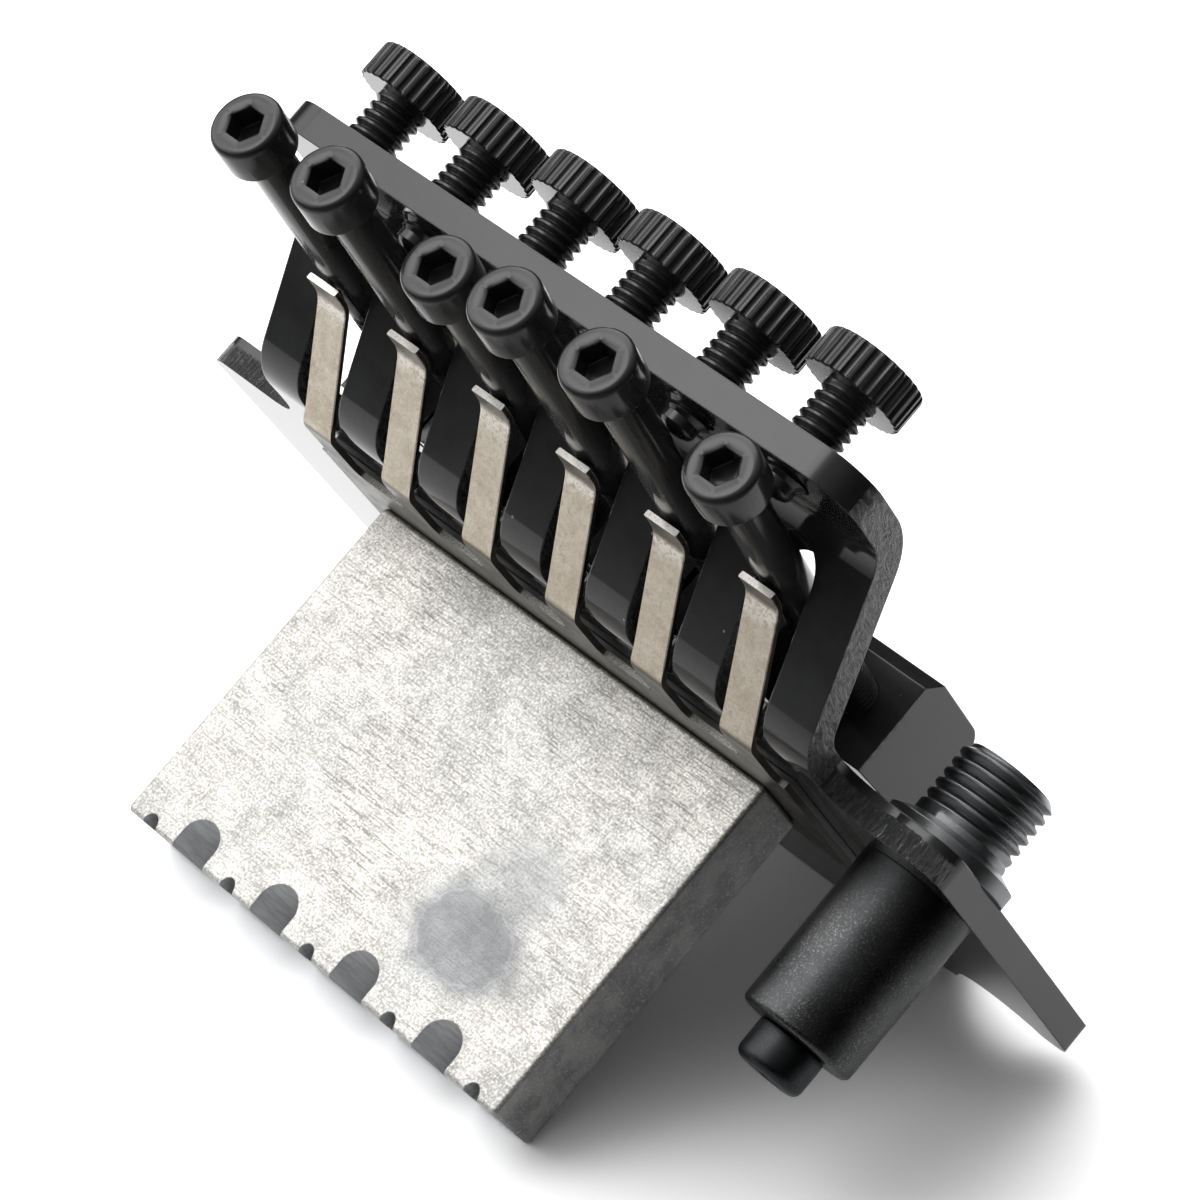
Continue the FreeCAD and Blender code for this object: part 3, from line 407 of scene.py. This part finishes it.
def oxide_finish():
    """Matt black oxide with a fine grain."""
    f = Finish("socket_oxide")
    cloud = f.noise(230.0, 5.0, 0.6)
    grain = f.noise(8000.0, 4.0, 0.7)
    fleck = f.noise(5200.0, 3.0, 0.6)
    patch = f.span(f.noise(260.0, 4.0), 0.38, 0.66)
    colour = f.blend(f.span(cloud, 0.3, 0.7), OXIDE_DARK, OXIDE_LIGHT)
    shine = f.math("MULTIPLY", f.span(fleck, 0.50, 0.70), f.span(patch, 0.0, 1.0, 0.20, 0.60))
    colour = f.blend(shine, colour, OXIDE_FLECK)
    colour = f.blend(f.span(grain, 0.48, 0.30, 0.0, 0.6), colour, OXIDE_PIT)
    z = f.parts(f.place)[2]
    colour = f.blend(f.span(z, *SOCKET_SHADE_Z, 0.0, 0.65), colour, OXIDE_SHADED)
    colour = f.blend(f.span(z, *SOCKET_THREAD_Z, 0.0, 0.8), colour, OXIDE_THREAD)
    screw = f.span(z, *SOCKET_SCREW_Z, 0.0, 0.75)
    colour = f.blend(screw, colour, OXIDE_SCREW)
    colour = f.blend(f.math("MULTIPLY", f.edge(0.15 * MM), 0.30), colour, OXIDE_EDGE)
    normal = f.bump(grain, 0.6, 0.03 * MM, f.rounded(0.15 * MM))
    normal = f.bump(fleck, 0.35, 0.04 * MM, normal)
    f.set(Base_Color=colour, Metallic=1.0, Roughness=f.span(cloud, 0.3, 0.7, 0.27, 0.34), Normal=normal)
    return f


def nickel_finish():
    """Satin nickel, warm and mottled and lighter in patches below the top bend, with a painted highlight
    on faces that look back and painted shade on the side faces, on faces that look down and in the crevice
    under the plate.
    """
    f = Finish("spring_nickel")
    cloud = f.noise(330.0, 5.0, 0.6, warp=0.6)
    skin = f.noise(1900.0, 5.0, 0.65, warp=1.2)
    grain = f.noise(6500.0, 3.0, 0.6)
    drawn = f.noise(1.0, 4.0, 0.6, at=f.stretched((6500.0, 800.0, 800.0)))
    colour = f.blend(f.span(cloud, 0.3, 0.7), NICKEL_DARK, NICKEL_LIGHT)
    colour = f.blend(f.span(skin, 0.50, 0.68, 0.0, 0.50), colour, NICKEL_SPOT)
    colour = f.blend(f.span(skin, 0.47, 0.32, 0.0, 0.40), colour, NICKEL_PALE)
    colour = f.blend(f.span(grain, 0.52, 0.70, 0.0, 0.35), colour, NICKEL_SPECK)
    colour = f.blend(f.span(drawn, 0.56, 0.75, 0.0, 0.25), colour, NICKEL_DRAWN)
    _, y, z = f.parts(f.place)
    nx, ny, nz = f.parts(f.facing)
    # Lighter in patches in a band just below the strips' top bend
    light_band = f.math("MULTIPLY", f.span(z, *STRIP_LIGHT_BAND_LOW_Z), f.span(z, *STRIP_LIGHT_BAND_HIGH_Z))
    light_band = f.math("MULTIPLY", light_band, f.span(skin, 0.62, 0.42, 0.0, 0.7))
    colour = f.blend(light_band, colour, NICKEL_BAND_TONE)
    # Painted shade on the side faces
    colour = f.blend(f.span(f.math("ABSOLUTE", nx), 0.6, 0.9, 0.0, 0.75), colour, NICKEL_SIDE_SHADE)
    # Painted shade in the crevice under the plate, which also takes some metal away
    crevice_shade = f.span(y, *COMB_SHADE_Y)
    colour = f.blend(f.math("MULTIPLY", crevice_shade, 0.93), colour, NICKEL_SHADE)
    # Painted shade on faces that look down
    colour = f.blend(f.span(nz, -0.86, -0.97, 0.0, 0.7), colour, NICKEL_SHADE)
    # Painted highlight, speckled, on faces that look back (-Y): the strip ends and the comb's rear edges
    back_highlight = f.math("MULTIPLY", f.span(ny, -0.80, -0.92), f.span(grain, 0.66, 0.40, 0.35, 1.0))
    back_highlight = f.math("MULTIPLY", back_highlight, f.span(y, *COMB_HIGHLIGHT_Y, 0.35, 1.0))
    colour = f.blend(back_highlight, colour, NICKEL_BACK_HIGHLIGHT)
    normal = f.node("ShaderNodeNewGeometry").outputs["Normal"]
    normal = f.bump(drawn, 0.14, 0.03 * MM, normal)
    normal = f.bump(skin, 0.30, 0.04 * MM, normal)
    normal = f.bump(grain, 0.25, 0.03 * MM, normal)
    metal = f.math("SUBTRACT", 1.0, f.math("MULTIPLY", crevice_shade, 0.75))
    f.set(Base_Color=colour, Metallic=metal, Roughness=f.span(cloud, 0.3, 0.7, 0.30, 0.42), Normal=normal)
    return f


def zinc_tone(f, x, z, mottle, grain):
    """Brushed rear face: cream and grey clouds, dark dashes along X, and a stain with a tail."""
    cloud = f.noise(62.0, 4.0, 0.6, warp=0.6)
    patch = f.noise(110.0, 5.0, 0.62, warp=0.9)
    brush = f.noise(1.0, 4.0, 0.7, at=f.stretched((400.0, 6800.0, 6800.0)), warp=0.25)
    worn = f.span(f.noise(70.0, 3.0, 0.6, warp=0.8), 0.36, 0.64, 0.45, 1.0)
    tone = f.blend(f.span(cloud, 0.35, 0.65), ZINC_GREY, ZINC_CREAM)
    tone = f.blend(f.span(mottle, 0.45, 0.75, 0.0, 0.45), tone, ZINC_MOTTLE)
    tone = f.blend(f.span(patch, 0.54, 0.72, 0.0, 0.40), tone, ZINC_BLUE)
    # Painted shade: darker and warmer towards the top, under the plate
    tone = f.blend(f.span(z, *BLOCK_TOP_SHADE_Z, 0.0, 0.25), tone, ZINC_TOP_SHADE)
    tone = f.blend(f.span(grain, 0.46, 0.64, 0.0, 0.70), tone, ZINC_PIT)
    tone = f.blend(f.math("MULTIPLY", f.span(brush, 0.49, 0.615), worn), tone, ZINC_BRUSHED)
    tone = f.blend(f.span(grain, 0.47, 0.34, 0.0, 0.75), tone, ZINC_SPARK)
    wobble = f.span(f.noise(190.0, 3.0), 0.2, 0.8, -0.16, 0.16)
    oval = f.oval(x, z, *STAIN_OVAL, wobble)
    tail = f.oval(x, z, *STAIN_TAIL, wobble)
    haze = f.span(f.math("MINIMUM", oval, tail), 1.5, 0.8)
    haze = f.math("MULTIPLY", haze, f.span(patch, 0.62, 0.40, 0.50, 0.62))
    tone = f.blend(haze, tone, STAIN_HAZE)
    tone = f.blend(f.span(oval, 1.12, 0.74, 0.0, 0.72), tone, STAIN_DARK)
    rim = f.math("ABSOLUTE", f.math("SUBTRACT", oval, STAIN_RIM_REACH))
    tone = f.blend(f.span(rim, 0.04, 0.0, 0.0, 0.16), tone, STAIN_RIM)
    return tone, brush


def zinc_finish():
    """Bare cast zinc: brushed behind, darker cast skin on the other sides, smooth in the notches."""
    f = Finish("block_zinc")
    x, _, z = f.parts(f.place)
    machined = f.span(f.parts(f.facing)[1], -0.45, -0.75)
    mottle = f.noise(330.0, 6.0, 0.65, warp=0.4)
    grain = f.noise(4200.0, 3.0, 0.6)
    tone, brush = zinc_tone(f, x, z, mottle, grain)
    cast = f.blend(f.span(mottle, 0.3, 0.7), CAST_DARK, CAST_LIGHT)
    cast = f.blend(f.span(grain, 0.56, 0.68, 0.0, 0.7), cast, CAST_SPARK)
    drawn = f.noise(1.0, 3.0, 0.6, at=f.stretched((3200.0, 260.0, 3200.0)))
    smooth = f.blend(f.span(drawn, 0.35, 0.65), NOTCH_DARK, NOTCH_LIGHT)
    inside = f.math("LESS_THAN", f.math("ABSOLUTE", x), NOTCH_REACH)
    inside = f.math("MULTIPLY", inside, f.math("LESS_THAN", z, NOTCH_TOP))
    cast = f.blend(inside, cast, smooth)
    normal = f.bump(grain, 0.6, 0.06 * MM, f.rounded(0.15 * MM))
    normal = f.bump(brush, 0.55, 0.05 * MM, normal)
    normal = f.bump(mottle, 0.25, 0.12 * MM, normal)
    rough = f.span(mottle, 0.3, 0.7, 0.44, 0.58)
    hollow = f.math("MULTIPLY", inside, f.math("SUBTRACT", 1.0, machined))
    metal = f.math("SUBTRACT", 1.0, f.math("MULTIPLY", hollow, 0.8))
    f.set(Base_Color=f.blend(machined, cast, tone), Metallic=metal, Roughness=rough, Normal=normal)
    return f


FINISHES = {
    "plate_black": plate_finish(),
    "block_zinc": zinc_finish(),
    "spring_nickel": nickel_finish(),
    "saddle_black": black_finish("saddle_black", grain=0.12, coat=0.10),
    "clamp_steel": black_finish("clamp_steel", level=0.10, smooth=0.24, rough=0.36, grain=0.3, coat=0.3),
    "screw_black": black_finish("screw_black", coat=0.16),
    "tuner_black": black_finish("tuner_black", grain=0.15, round_radius=0.08 * MM, coat=0.14),
    "socket_oxide": oxide_finish(),
}
slot_of = {row["node"]: row["material_slot"] for row in frame["record"]["subparts"]}
for name, obj in nodes.items():
    obj.data.materials.clear()
    obj.data.materials.append(FINISHES[slot_of[name]].material)


# Turned and threaded pieces


def add_piece(name, mesh, node):
    """A finished piece in place of one solid, with its material."""
    bmesh.ops.remove_doubles(mesh, verts=mesh.verts, dist=WELD_DISTANCE)
    bmesh.ops.recalc_face_normals(mesh, faces=mesh.faces)
    data = bpy.data.meshes.new(name)
    mesh.to_mesh(data)
    mesh.free()
    data.shade_smooth()
    data.set_sharp_from_angle(angle=SHARP_ANGLE)
    data.materials.append(FINISHES[slot_of[node]].material)
    piece = bpy.data.objects.new(name, data)
    scene.collection.objects.link(piece)
    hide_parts(node)
    return piece


class Turned:
    """Mesh turned about Z: rings joined by bands, with threads that climb round it."""

    def __init__(self, columns):
        self.mesh = bmesh.new()
        self.angles = [2 * math.pi * n / columns for n in range(columns)]

    def point(self, radius, angle, z):
        return self.mesh.verts.new((radius * math.cos(angle), radius * math.sin(angle), z))

    def skin(self, outline):
        """Bands between rings of (radius, z), where a radius may be a function of the angle."""
        rings = []
        for radius, z in outline:
            reach = radius if callable(radius) else lambda angle, r=radius: r
            rings.append([self.point(reach(angle), angle, z) for angle in self.angles])
        for below, above in zip(rings, rings[1:]):
            for n in range(len(below)):
                self.mesh.faces.new((below[n - 1], below[n], above[n], above[n - 1]))

    def thread(self, radius, pitch, low, high, start, run_out):
        """One ridge that climbs from low, cut there by a cone of the start radius, and fades at high."""
        columns = []
        for angle in self.angles:
            climb = low + pitch * (angle / (2 * math.pi) - 1)
            column = []
            for turn in range(math.ceil((high - low) / pitch) + 2):
                for share in (0, 0.5 - THREAD_CREST, 0.5 + THREAD_CREST):
                    z = min(max(climb + (turn + share) * pitch, low), high)
                    off_crest = abs(((z - climb) / pitch) % 1 - 0.5) - THREAD_CREST
                    groove = max(off_crest, 0) / (0.5 - THREAD_CREST) * min((high - z) / run_out, 1)
                    reach = min(radius - THREAD_DEPTH * pitch * groove, start + z - low)
                    column.append(self.point(reach, angle, z))
            columns.append(column)
        columns.append(columns[0][3:])
        for column, after in zip(columns, columns[1:]):
            for k in range(len(after) - 1):
                self.mesh.faces.new((column[k], after[k], after[k + 1], column[k + 1]))


def arc(centre, radius, start, end, steps=6):
    """Points (radius, z) of a round edge between two angles in degrees, 0 outwards and 90 up."""
    turns = [math.radians(start + (end - start) * n / steps) for n in range(steps + 1)]
    return [(centre[0] + radius * math.cos(t), centre[1] + radius * math.sin(t)) for t in turns]


def hexagon(across):
    return lambda angle: across / 2 / math.cos(angle % (math.pi / 3) - math.pi / 6)


def socket(key, depth, face):
    """Hexagon socket that goes down from a face that looks to -Z, from its middle to its mouth."""
    floor = face + depth
    mouth = key / math.sqrt(3) + SOCKET_CHAMFER
    return [(0, floor + SOCKET_POINT), (hexagon(key * 0.9), floor), (hexagon(key), floor),
            (hexagon(key), face + SOCKET_CHAMFER), (mouth, face)]


def fluted(radius, share):
    """Radius of the knurled rim round the head."""
    step = 2 * math.pi / TUNER_FLUTES

    def reach(angle):
        across = ((angle + step / 2) % step - step / 2) * TUNER_HEAD_DIAMETER / TUNER_FLUTE_WIDTH
        return radius - share * TUNER_FLUTE_DEPTH * math.sqrt(max(1 - across**2, 0))

    return reach


def middle_of(node):
    low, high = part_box(node)
    return (low + high) / 2, low, high


def tuner_screw(number):
    node = f"fine_tuner_{number}"
    centre, low, high = middle_of(node)
    length = high.z - low.z
    seat = length - TUNER_HEAD_HEIGHT
    tip = TUNER_TIP_DIAMETER / 2
    thread_low = TUNER_TIP_HEIGHT + TUNER_RUN_IN
    shank = Turned(TUNER_COLUMNS)
    shank.skin([(tip * share, z) for share, z in TUNER_TIP_CURVE] + [(tip, thread_low)])
    shank.thread(TUNER_DIAMETER / 2, TUNER_PITCH, thread_low, seat, tip, TUNER_PITCH)
    sunk = seat + TUNER_SHANK_SUNK
    shank.skin([(TUNER_DIAMETER / 2, seat), (TUNER_DIAMETER / 2, sunk), (0, sunk)])
    rim = TUNER_HEAD_DIAMETER / 2
    head = Turned(TUNER_FLUTES * FLUTE_COLUMNS)
    head.mesh.from_mesh(as_mesh(shank.mesh))
    outline = [(0, seat), (rim - TUNER_FLAT, seat), (fluted(rim - TUNER_SEAT_EDGE, 0.8), seat)]
    outline += [(fluted(rim, 1.0), seat + TUNER_SEAT_EDGE)]
    inner = rim - TUNER_RIM_ROUND
    for r, z in arc((inner, length - TUNER_RIM_ROUND), TUNER_RIM_ROUND, 0, 90):
        outline.append((fluted(r, 0.15 + 0.85 * (r - inner) / TUNER_RIM_ROUND), z))
    outline += [(inner * 0.9, length), (0, length)]
    head.skin(outline)
    bmesh.ops.translate(head.mesh, verts=head.mesh.verts, vec=(centre.x, centre.y, low.z))
    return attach(add_piece(f"tuner_screw_{number}", head.mesh, node), node)


def as_mesh(mesh):
    """Plain mesh data of one shell, to be joined with another."""
    data = bpy.data.meshes.new("shell")
    mesh.to_mesh(data)
    mesh.free()
    return data


def lock_bolt(number):
    node = f"lock_screw_{number}"
    centre, low, high = middle_of(node)
    rim = LOCK_HEAD_DIAMETER / 2
    radius = LOCK_DIAMETER / 2
    end = LOCK_HEAD_HEIGHT + LOCK_LENGTH
    edge = LOCK_HEAD_ROUND
    neck = LOCK_NECK_ROUND
    bolt = Turned(SCREW_COLUMNS)
    outline = socket(LOCK_KEY, LOCK_KEY_DEPTH, 0)
    outline += arc((rim - edge, edge), edge, -90, 0)
    outline += arc((rim - edge / 2, LOCK_HEAD_HEIGHT - edge / 2), edge / 2, 0, 90)
    outline += arc((radius + neck, LOCK_HEAD_HEIGHT + neck), neck, 270, 180)
    bolt.skin(outline + [(radius, end - LOCK_THREAD_LENGTH)])
    # The thread is cut from the far end, so it is drawn from there and turned over
    thread = Turned(SCREW_COLUMNS)
    tip = radius - LOCK_TIP_CHAMFER
    thread.thread(radius, LOCK_PITCH, 0, LOCK_THREAD_LENGTH, tip, LOCK_PITCH)
    thread.skin([(0, 0), (tip, 0)])
    turn_over = Matrix.Translation((0, 0, end)) @ Matrix.Rotation(math.pi, 4, "X")
    bmesh.ops.transform(thread.mesh, matrix=turn_over, verts=thread.mesh.verts)
    bolt.mesh.from_mesh(as_mesh(thread.mesh))
    face_y = low.y + (rim - LOCK_HEAD_CHAMFER) * math.sin(LOCK_SLOPE)
    face_z = high.z - rim * math.cos(LOCK_SLOPE) + LOCK_HEAD_CHAMFER * math.sin(LOCK_SLOPE)
    lie = Matrix.Rotation(-math.pi / 2 - LOCK_SLOPE, 4, "X")
    place = Matrix.Translation((centre.x, face_y, face_z)) @ lie
    bmesh.ops.transform(bolt.mesh, matrix=place, verts=bolt.mesh.verts)
    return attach(add_piece(f"lock_bolt_{number}", bolt.mesh, node), node)


def arm_post():
    centre, low, high = middle_of("arm_socket")
    barrel = BARREL_DIAMETER / 2
    post = POST_DIAMETER / 2
    bore = ARM_BORE_DIAMETER / 2
    hole = TENSION_HOLE_DIAMETER / 2
    shoulder = low.z + BARREL_LENGTH
    shell = Turned(POST_COLUMNS)
    bottom = high.z - ARM_BORE_DEPTH
    outline = [(bore, high.z - BORE_CHAMFER), (bore, bottom), (hole, bottom)]
    outline += [(hole, low.z)] + arc((barrel - BARREL_ROUND, low.z + BARREL_ROUND), BARREL_ROUND, -90, 0)
    shell.skin(outline + [(barrel, shoulder), (post, shoulder), (post, high.z - POST_THREAD_LENGTH)])
    # The thread is cut from the top, so it is drawn from there and turned over
    thread = Turned(POST_COLUMNS)
    thread.thread(post, POST_PITCH, 0, POST_THREAD_LENGTH, post - POST_CHAMFER, POST_PITCH)
    mouth = [(bore, BORE_CHAMFER), (bore + BORE_CHAMFER, 0)]
    thread.skin(mouth + [(post - POST_CHAMFER, 0)])
    turn_over = Matrix.Translation((0, 0, high.z)) @ Matrix.Rotation(math.pi, 4, "X")
    bmesh.ops.transform(thread.mesh, matrix=turn_over, verts=thread.mesh.verts)
    shell.mesh.from_mesh(as_mesh(thread.mesh))
    bmesh.ops.translate(shell.mesh, verts=shell.mesh.verts, vec=(centre.x, centre.y, 0))
    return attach(add_piece("arm_post", shell.mesh, "arm_socket"), "bridge")


def tension_bolt():
    node = "arm_tension_screw"
    centre, low, high = middle_of(node)
    rim = TENSION_HEAD_DIAMETER / 2
    radius = TENSION_DIAMETER / 2
    edge = TENSION_HEAD_ROUND
    seat = TENSION_HEAD_HEIGHT
    length = high.z - low.z
    bolt = Turned(SCREW_COLUMNS)
    outline = socket(TENSION_KEY, TENSION_KEY_DEPTH, 0)
    outline += arc((rim - edge, edge), edge, -90, 0)
    outline += arc((rim - edge / 4, seat - edge / 4), edge / 4, 0, 90, 3)
    bolt.skin(outline + [(radius, seat), (radius, seat + TENSION_NECK)])
    thread = Turned(SCREW_COLUMNS)
    tip = radius - TENSION_PITCH
    thread.thread(radius, TENSION_PITCH, 0, length - seat - TENSION_NECK, tip, TENSION_PITCH)
    thread.skin([(0, 0), (tip, 0)])
    turn_over = Matrix.Translation((0, 0, length)) @ Matrix.Rotation(math.pi, 4, "X")
    bmesh.ops.transform(thread.mesh, matrix=turn_over, verts=thread.mesh.verts)
    bolt.mesh.from_mesh(as_mesh(thread.mesh))
    bmesh.ops.translate(bolt.mesh, verts=bolt.mesh.verts, vec=(centre.x, centre.y, low.z))
    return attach(add_piece("tension_bolt", bolt.mesh, node), node)


# Spring strips, which carry on without a break from the feet of the comb and bend there


def strip_path(tip_z):
    """Where a strip leaves its foot, and places along its middle as (y, z, slope)."""
    along = Vector((-math.cos(FINGER_LEAVE), math.sin(FINGER_LEAVE)))
    flex = FINGER_FOOT + along * FINGER_FOOT_RADIUS * math.tan(FINGER_LEAVE / 2)
    rise = math.tan(FINGER_LEAVE)
    tip_rise = math.tan(FINGER_TIP_ANGLE)
    reach = (tip_z - flex.y - (flex.x - FINGER_TIP_Y) * tip_rise) / (rise - tip_rise)
    corner = flex + Vector((-1, rise)) * reach
    first = corner - along * FINGER_BEND_RADIUS * math.tan((FINGER_LEAVE - FINGER_TIP_ANGLE) / 2)
    centre = first - Vector((math.sin(FINGER_LEAVE), math.cos(FINGER_LEAVE))) * FINGER_BEND_RADIUS
    steps = STRIP_STRAIGHT_STEPS
    path = [(*flex.lerp(first, n / steps), FINGER_LEAVE) for n in range(steps)]
    for n in range(STRIP_BEND_STEPS + 1):
        slope = FINGER_LEAVE + (FINGER_TIP_ANGLE - FINGER_LEAVE) * n / STRIP_BEND_STEPS
        path.append((*(centre + Vector((math.sin(slope), math.cos(slope))) * FINGER_BEND_RADIUS), slope))
    path.append((FINGER_TIP_Y, tip_z, FINGER_TIP_ANGLE))
    return flex, path


def spring_strip(number):
    node = f"spring_finger_{number}"
    centre, _, high = middle_of(node)
    thick = LEAF_THICKNESS / 2
    wide = FINGER_WIDTH / 2
    flex, path = strip_path(high.z - thick * math.cos(FINGER_TIP_ANGLE))
    mesh = bmesh.new()
    sections = []
    for n, (y, z, slope) in enumerate(path):
        edge = LEAF_EDGE * (1 if n else 0.02)
        outline = [(wide, edge - thick), (wide, thick - edge), (wide - edge, thick)]
        outline += [(-across, up) for across, up in reversed(outline)]
        outline += [(edge - wide, -thick), (wide - edge, -thick)]
        section = [
            mesh.verts.new((centre.x + across, y + up * math.sin(slope), z + up * math.cos(slope)))
            for across, up in outline
        ]
        for k in range(len(section)):
            if sections:
                mesh.faces.new((sections[-1][k - 1], sections[-1][k], section[k], section[k - 1]))
        sections.append(section)
    mesh.faces.new(sections[0])
    mesh.faces.new(sections[-1])
    strip = add_piece(f"spring_strip_{number}", mesh, node)
    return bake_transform(strip)


for number in STRINGS:
    tuner_screw(number)
    lock_bolt(number)
    spring_strip(number)
arm_post()
tension_bolt()


# Floor: the bridge lies on the front of its plate and the front of its block

bed_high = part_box("base_plate")[1]
block_low, block_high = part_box("sustain_block")
bed_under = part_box("arm_socket")[0].z + BARREL_LENGTH
lean = Vector((0, bed_high.y - block_high.y, bed_under - block_low.z)).normalized()
FLOOR_UP = Vector((0, -lean.z, lean.y))
AHEAD = (VIEW - FLOOR_UP * VIEW.dot(FLOOR_UP)).normalized()
SIDE = AHEAD.cross(FLOOR_UP)
PAPER_LEFT = -0.28
PAPER_RIGHT = 0.30
PAPER_NEAR = -0.14
PAPER_FAR = 0.30
PAPER_TONE = 0.86
PAPER_SEEN = 2.0
# How bright the paper is in reflections, as two places on it and the levels there
MIRRORED_ACROSS = (-0.26, -0.12, 0.10, 1.05)
MIRRORED_NEAR = (-0.12, -0.04, 0.25, 1.0)
MIRRORED_FAR = (-0.02, 0.035, 1.0, 1.6)
middle = (cad_low + cad_high) / 2
level = min(v.co.dot(FLOOR_UP) for obj in nodes.values() for v in obj.data.vertices)
below = middle + FLOOR_UP * (level - middle.dot(FLOOR_UP))
near = ((PAPER_LEFT, PAPER_NEAR), (PAPER_RIGHT, PAPER_NEAR))
far = ((PAPER_RIGHT, PAPER_FAR), (PAPER_LEFT, PAPER_FAR))
corners = [below + SIDE * across + AHEAD * ahead for across, ahead in near + far]
mesh = bpy.data.meshes.new("floor")
mesh.from_pydata(corners, [], [(0, 1, 2, 3)])
floor = bpy.data.objects.new("floor", mesh)
scene.collection.objects.link(floor)
paper = bpy.data.materials.new("paper")
paper.use_nodes = True
paper.node_tree.nodes.remove(paper.node_tree.nodes["Principled BSDF"])
graph = Graph(paper.node_tree)
path = graph.node("ShaderNodeLightPath")
place = graph.node("ShaderNodeTexCoord").outputs["Object"]
across = graph.dot(place, SIDE)
ahead = graph.dot(place, AHEAD)
mirrored = graph.span(across, *MIRRORED_ACROSS)
mirrored = graph.math("MULTIPLY", mirrored, graph.span(ahead, *MIRRORED_NEAR))
mirrored = graph.math("MULTIPLY", mirrored, graph.span(ahead, *MIRRORED_FAR))
white = graph.blend(path.outputs["Is Glossy Ray"], grey(PAPER_TONE), mirrored)
white = graph.blend(path.outputs["Is Camera Ray"], white, grey(PAPER_SEEN))
diffuse = graph.node("ShaderNodeBsdfDiffuse", {"Color": white}).outputs[0]
clear = graph.node("ShaderNodeBsdfTransparent").outputs[0]
behind = graph.node("ShaderNodeNewGeometry").outputs["Backfacing"]
one_sided = graph.node("ShaderNodeMixShader", {0: behind, 1: diffuse, 2: clear}).outputs[0]
graph.plug(paper.node_tree.nodes["Material Output"].inputs["Surface"], one_sided)
mesh.materials.append(paper)


# Light: a soft dome, dark near the horizon and dimmer to the right and the front, with soft lights in it

SKY_TONE = 0.95
# Spans of the dome, as two heights or leans of a direction and the levels there
SKY_HEIGHT = (0.25, 0.85, 0.03, 1.0)
SKY_SIDE = (-0.3, 0.6, 1.0, 0.25)
SKY_AHEAD = (-0.6, 0.3, 0.30, 1.0)
ROOM_HEIGHT = (-0.02, -0.15, 0.0, 0.12)
# Direction ahead, to the side and up, rim and core in degrees, and strength
SOFT_LIGHTS = (
    (-0.05, -0.606, 0.794, 19, 4, 1.95),
    (0.05, -0.72, 0.69, 45, 8, 0.50),
    (-0.23, -0.79, 0.57, 36, 8, 0.60),
    (0.25, -0.90, 0.25, 30, 8, 1.5),
    (0.60, -0.20, 0.79, 38, 12, 1.6),
)
world = bpy.data.worlds.new("studio")
scene.world = world
world.use_nodes = True
graph = Graph(world.node_tree)
direction = graph.node("ShaderNodeTexCoord").outputs["Generated"]
height = graph.dot(direction, FLOOR_UP)


def soft_light(ahead, side, up, rim, core, strength):
    """A round light in the dome, which fades from its core to its rim, both in degrees from its middle."""
    centre = (AHEAD * ahead + SIDE * side + FLOOR_UP * up).normalized()
    limits = [math.cos(math.radians(angle)) for angle in (rim, core)]
    return graph.span(graph.dot(direction, centre), *limits, 0.0, strength)


sky = graph.span(height, *SKY_HEIGHT)
sky = graph.math("MULTIPLY", sky, graph.span(graph.dot(direction, SIDE), *SKY_SIDE))
sky = graph.math("MULTIPLY", sky, graph.span(graph.dot(direction, AHEAD), *SKY_AHEAD))
light = graph.math("ADD", sky, graph.span(height, *ROOM_HEIGHT))
for soft in SOFT_LIGHTS:
    light = graph.math("ADD", light, soft_light(*soft))
seen = graph.node("ShaderNodeLightPath").outputs["Is Camera Ray"]
light = graph.node("ShaderNodeMix", {0: seen, 2: light, 3: 1.0 / SKY_TONE}).outputs[0]
graph.plug(world.node_tree.nodes["Background"].inputs["Strength"], light)
world.node_tree.nodes["Background"].inputs["Color"].default_value = grey(SKY_TONE)

scene.view_settings.view_transform = "Standard"
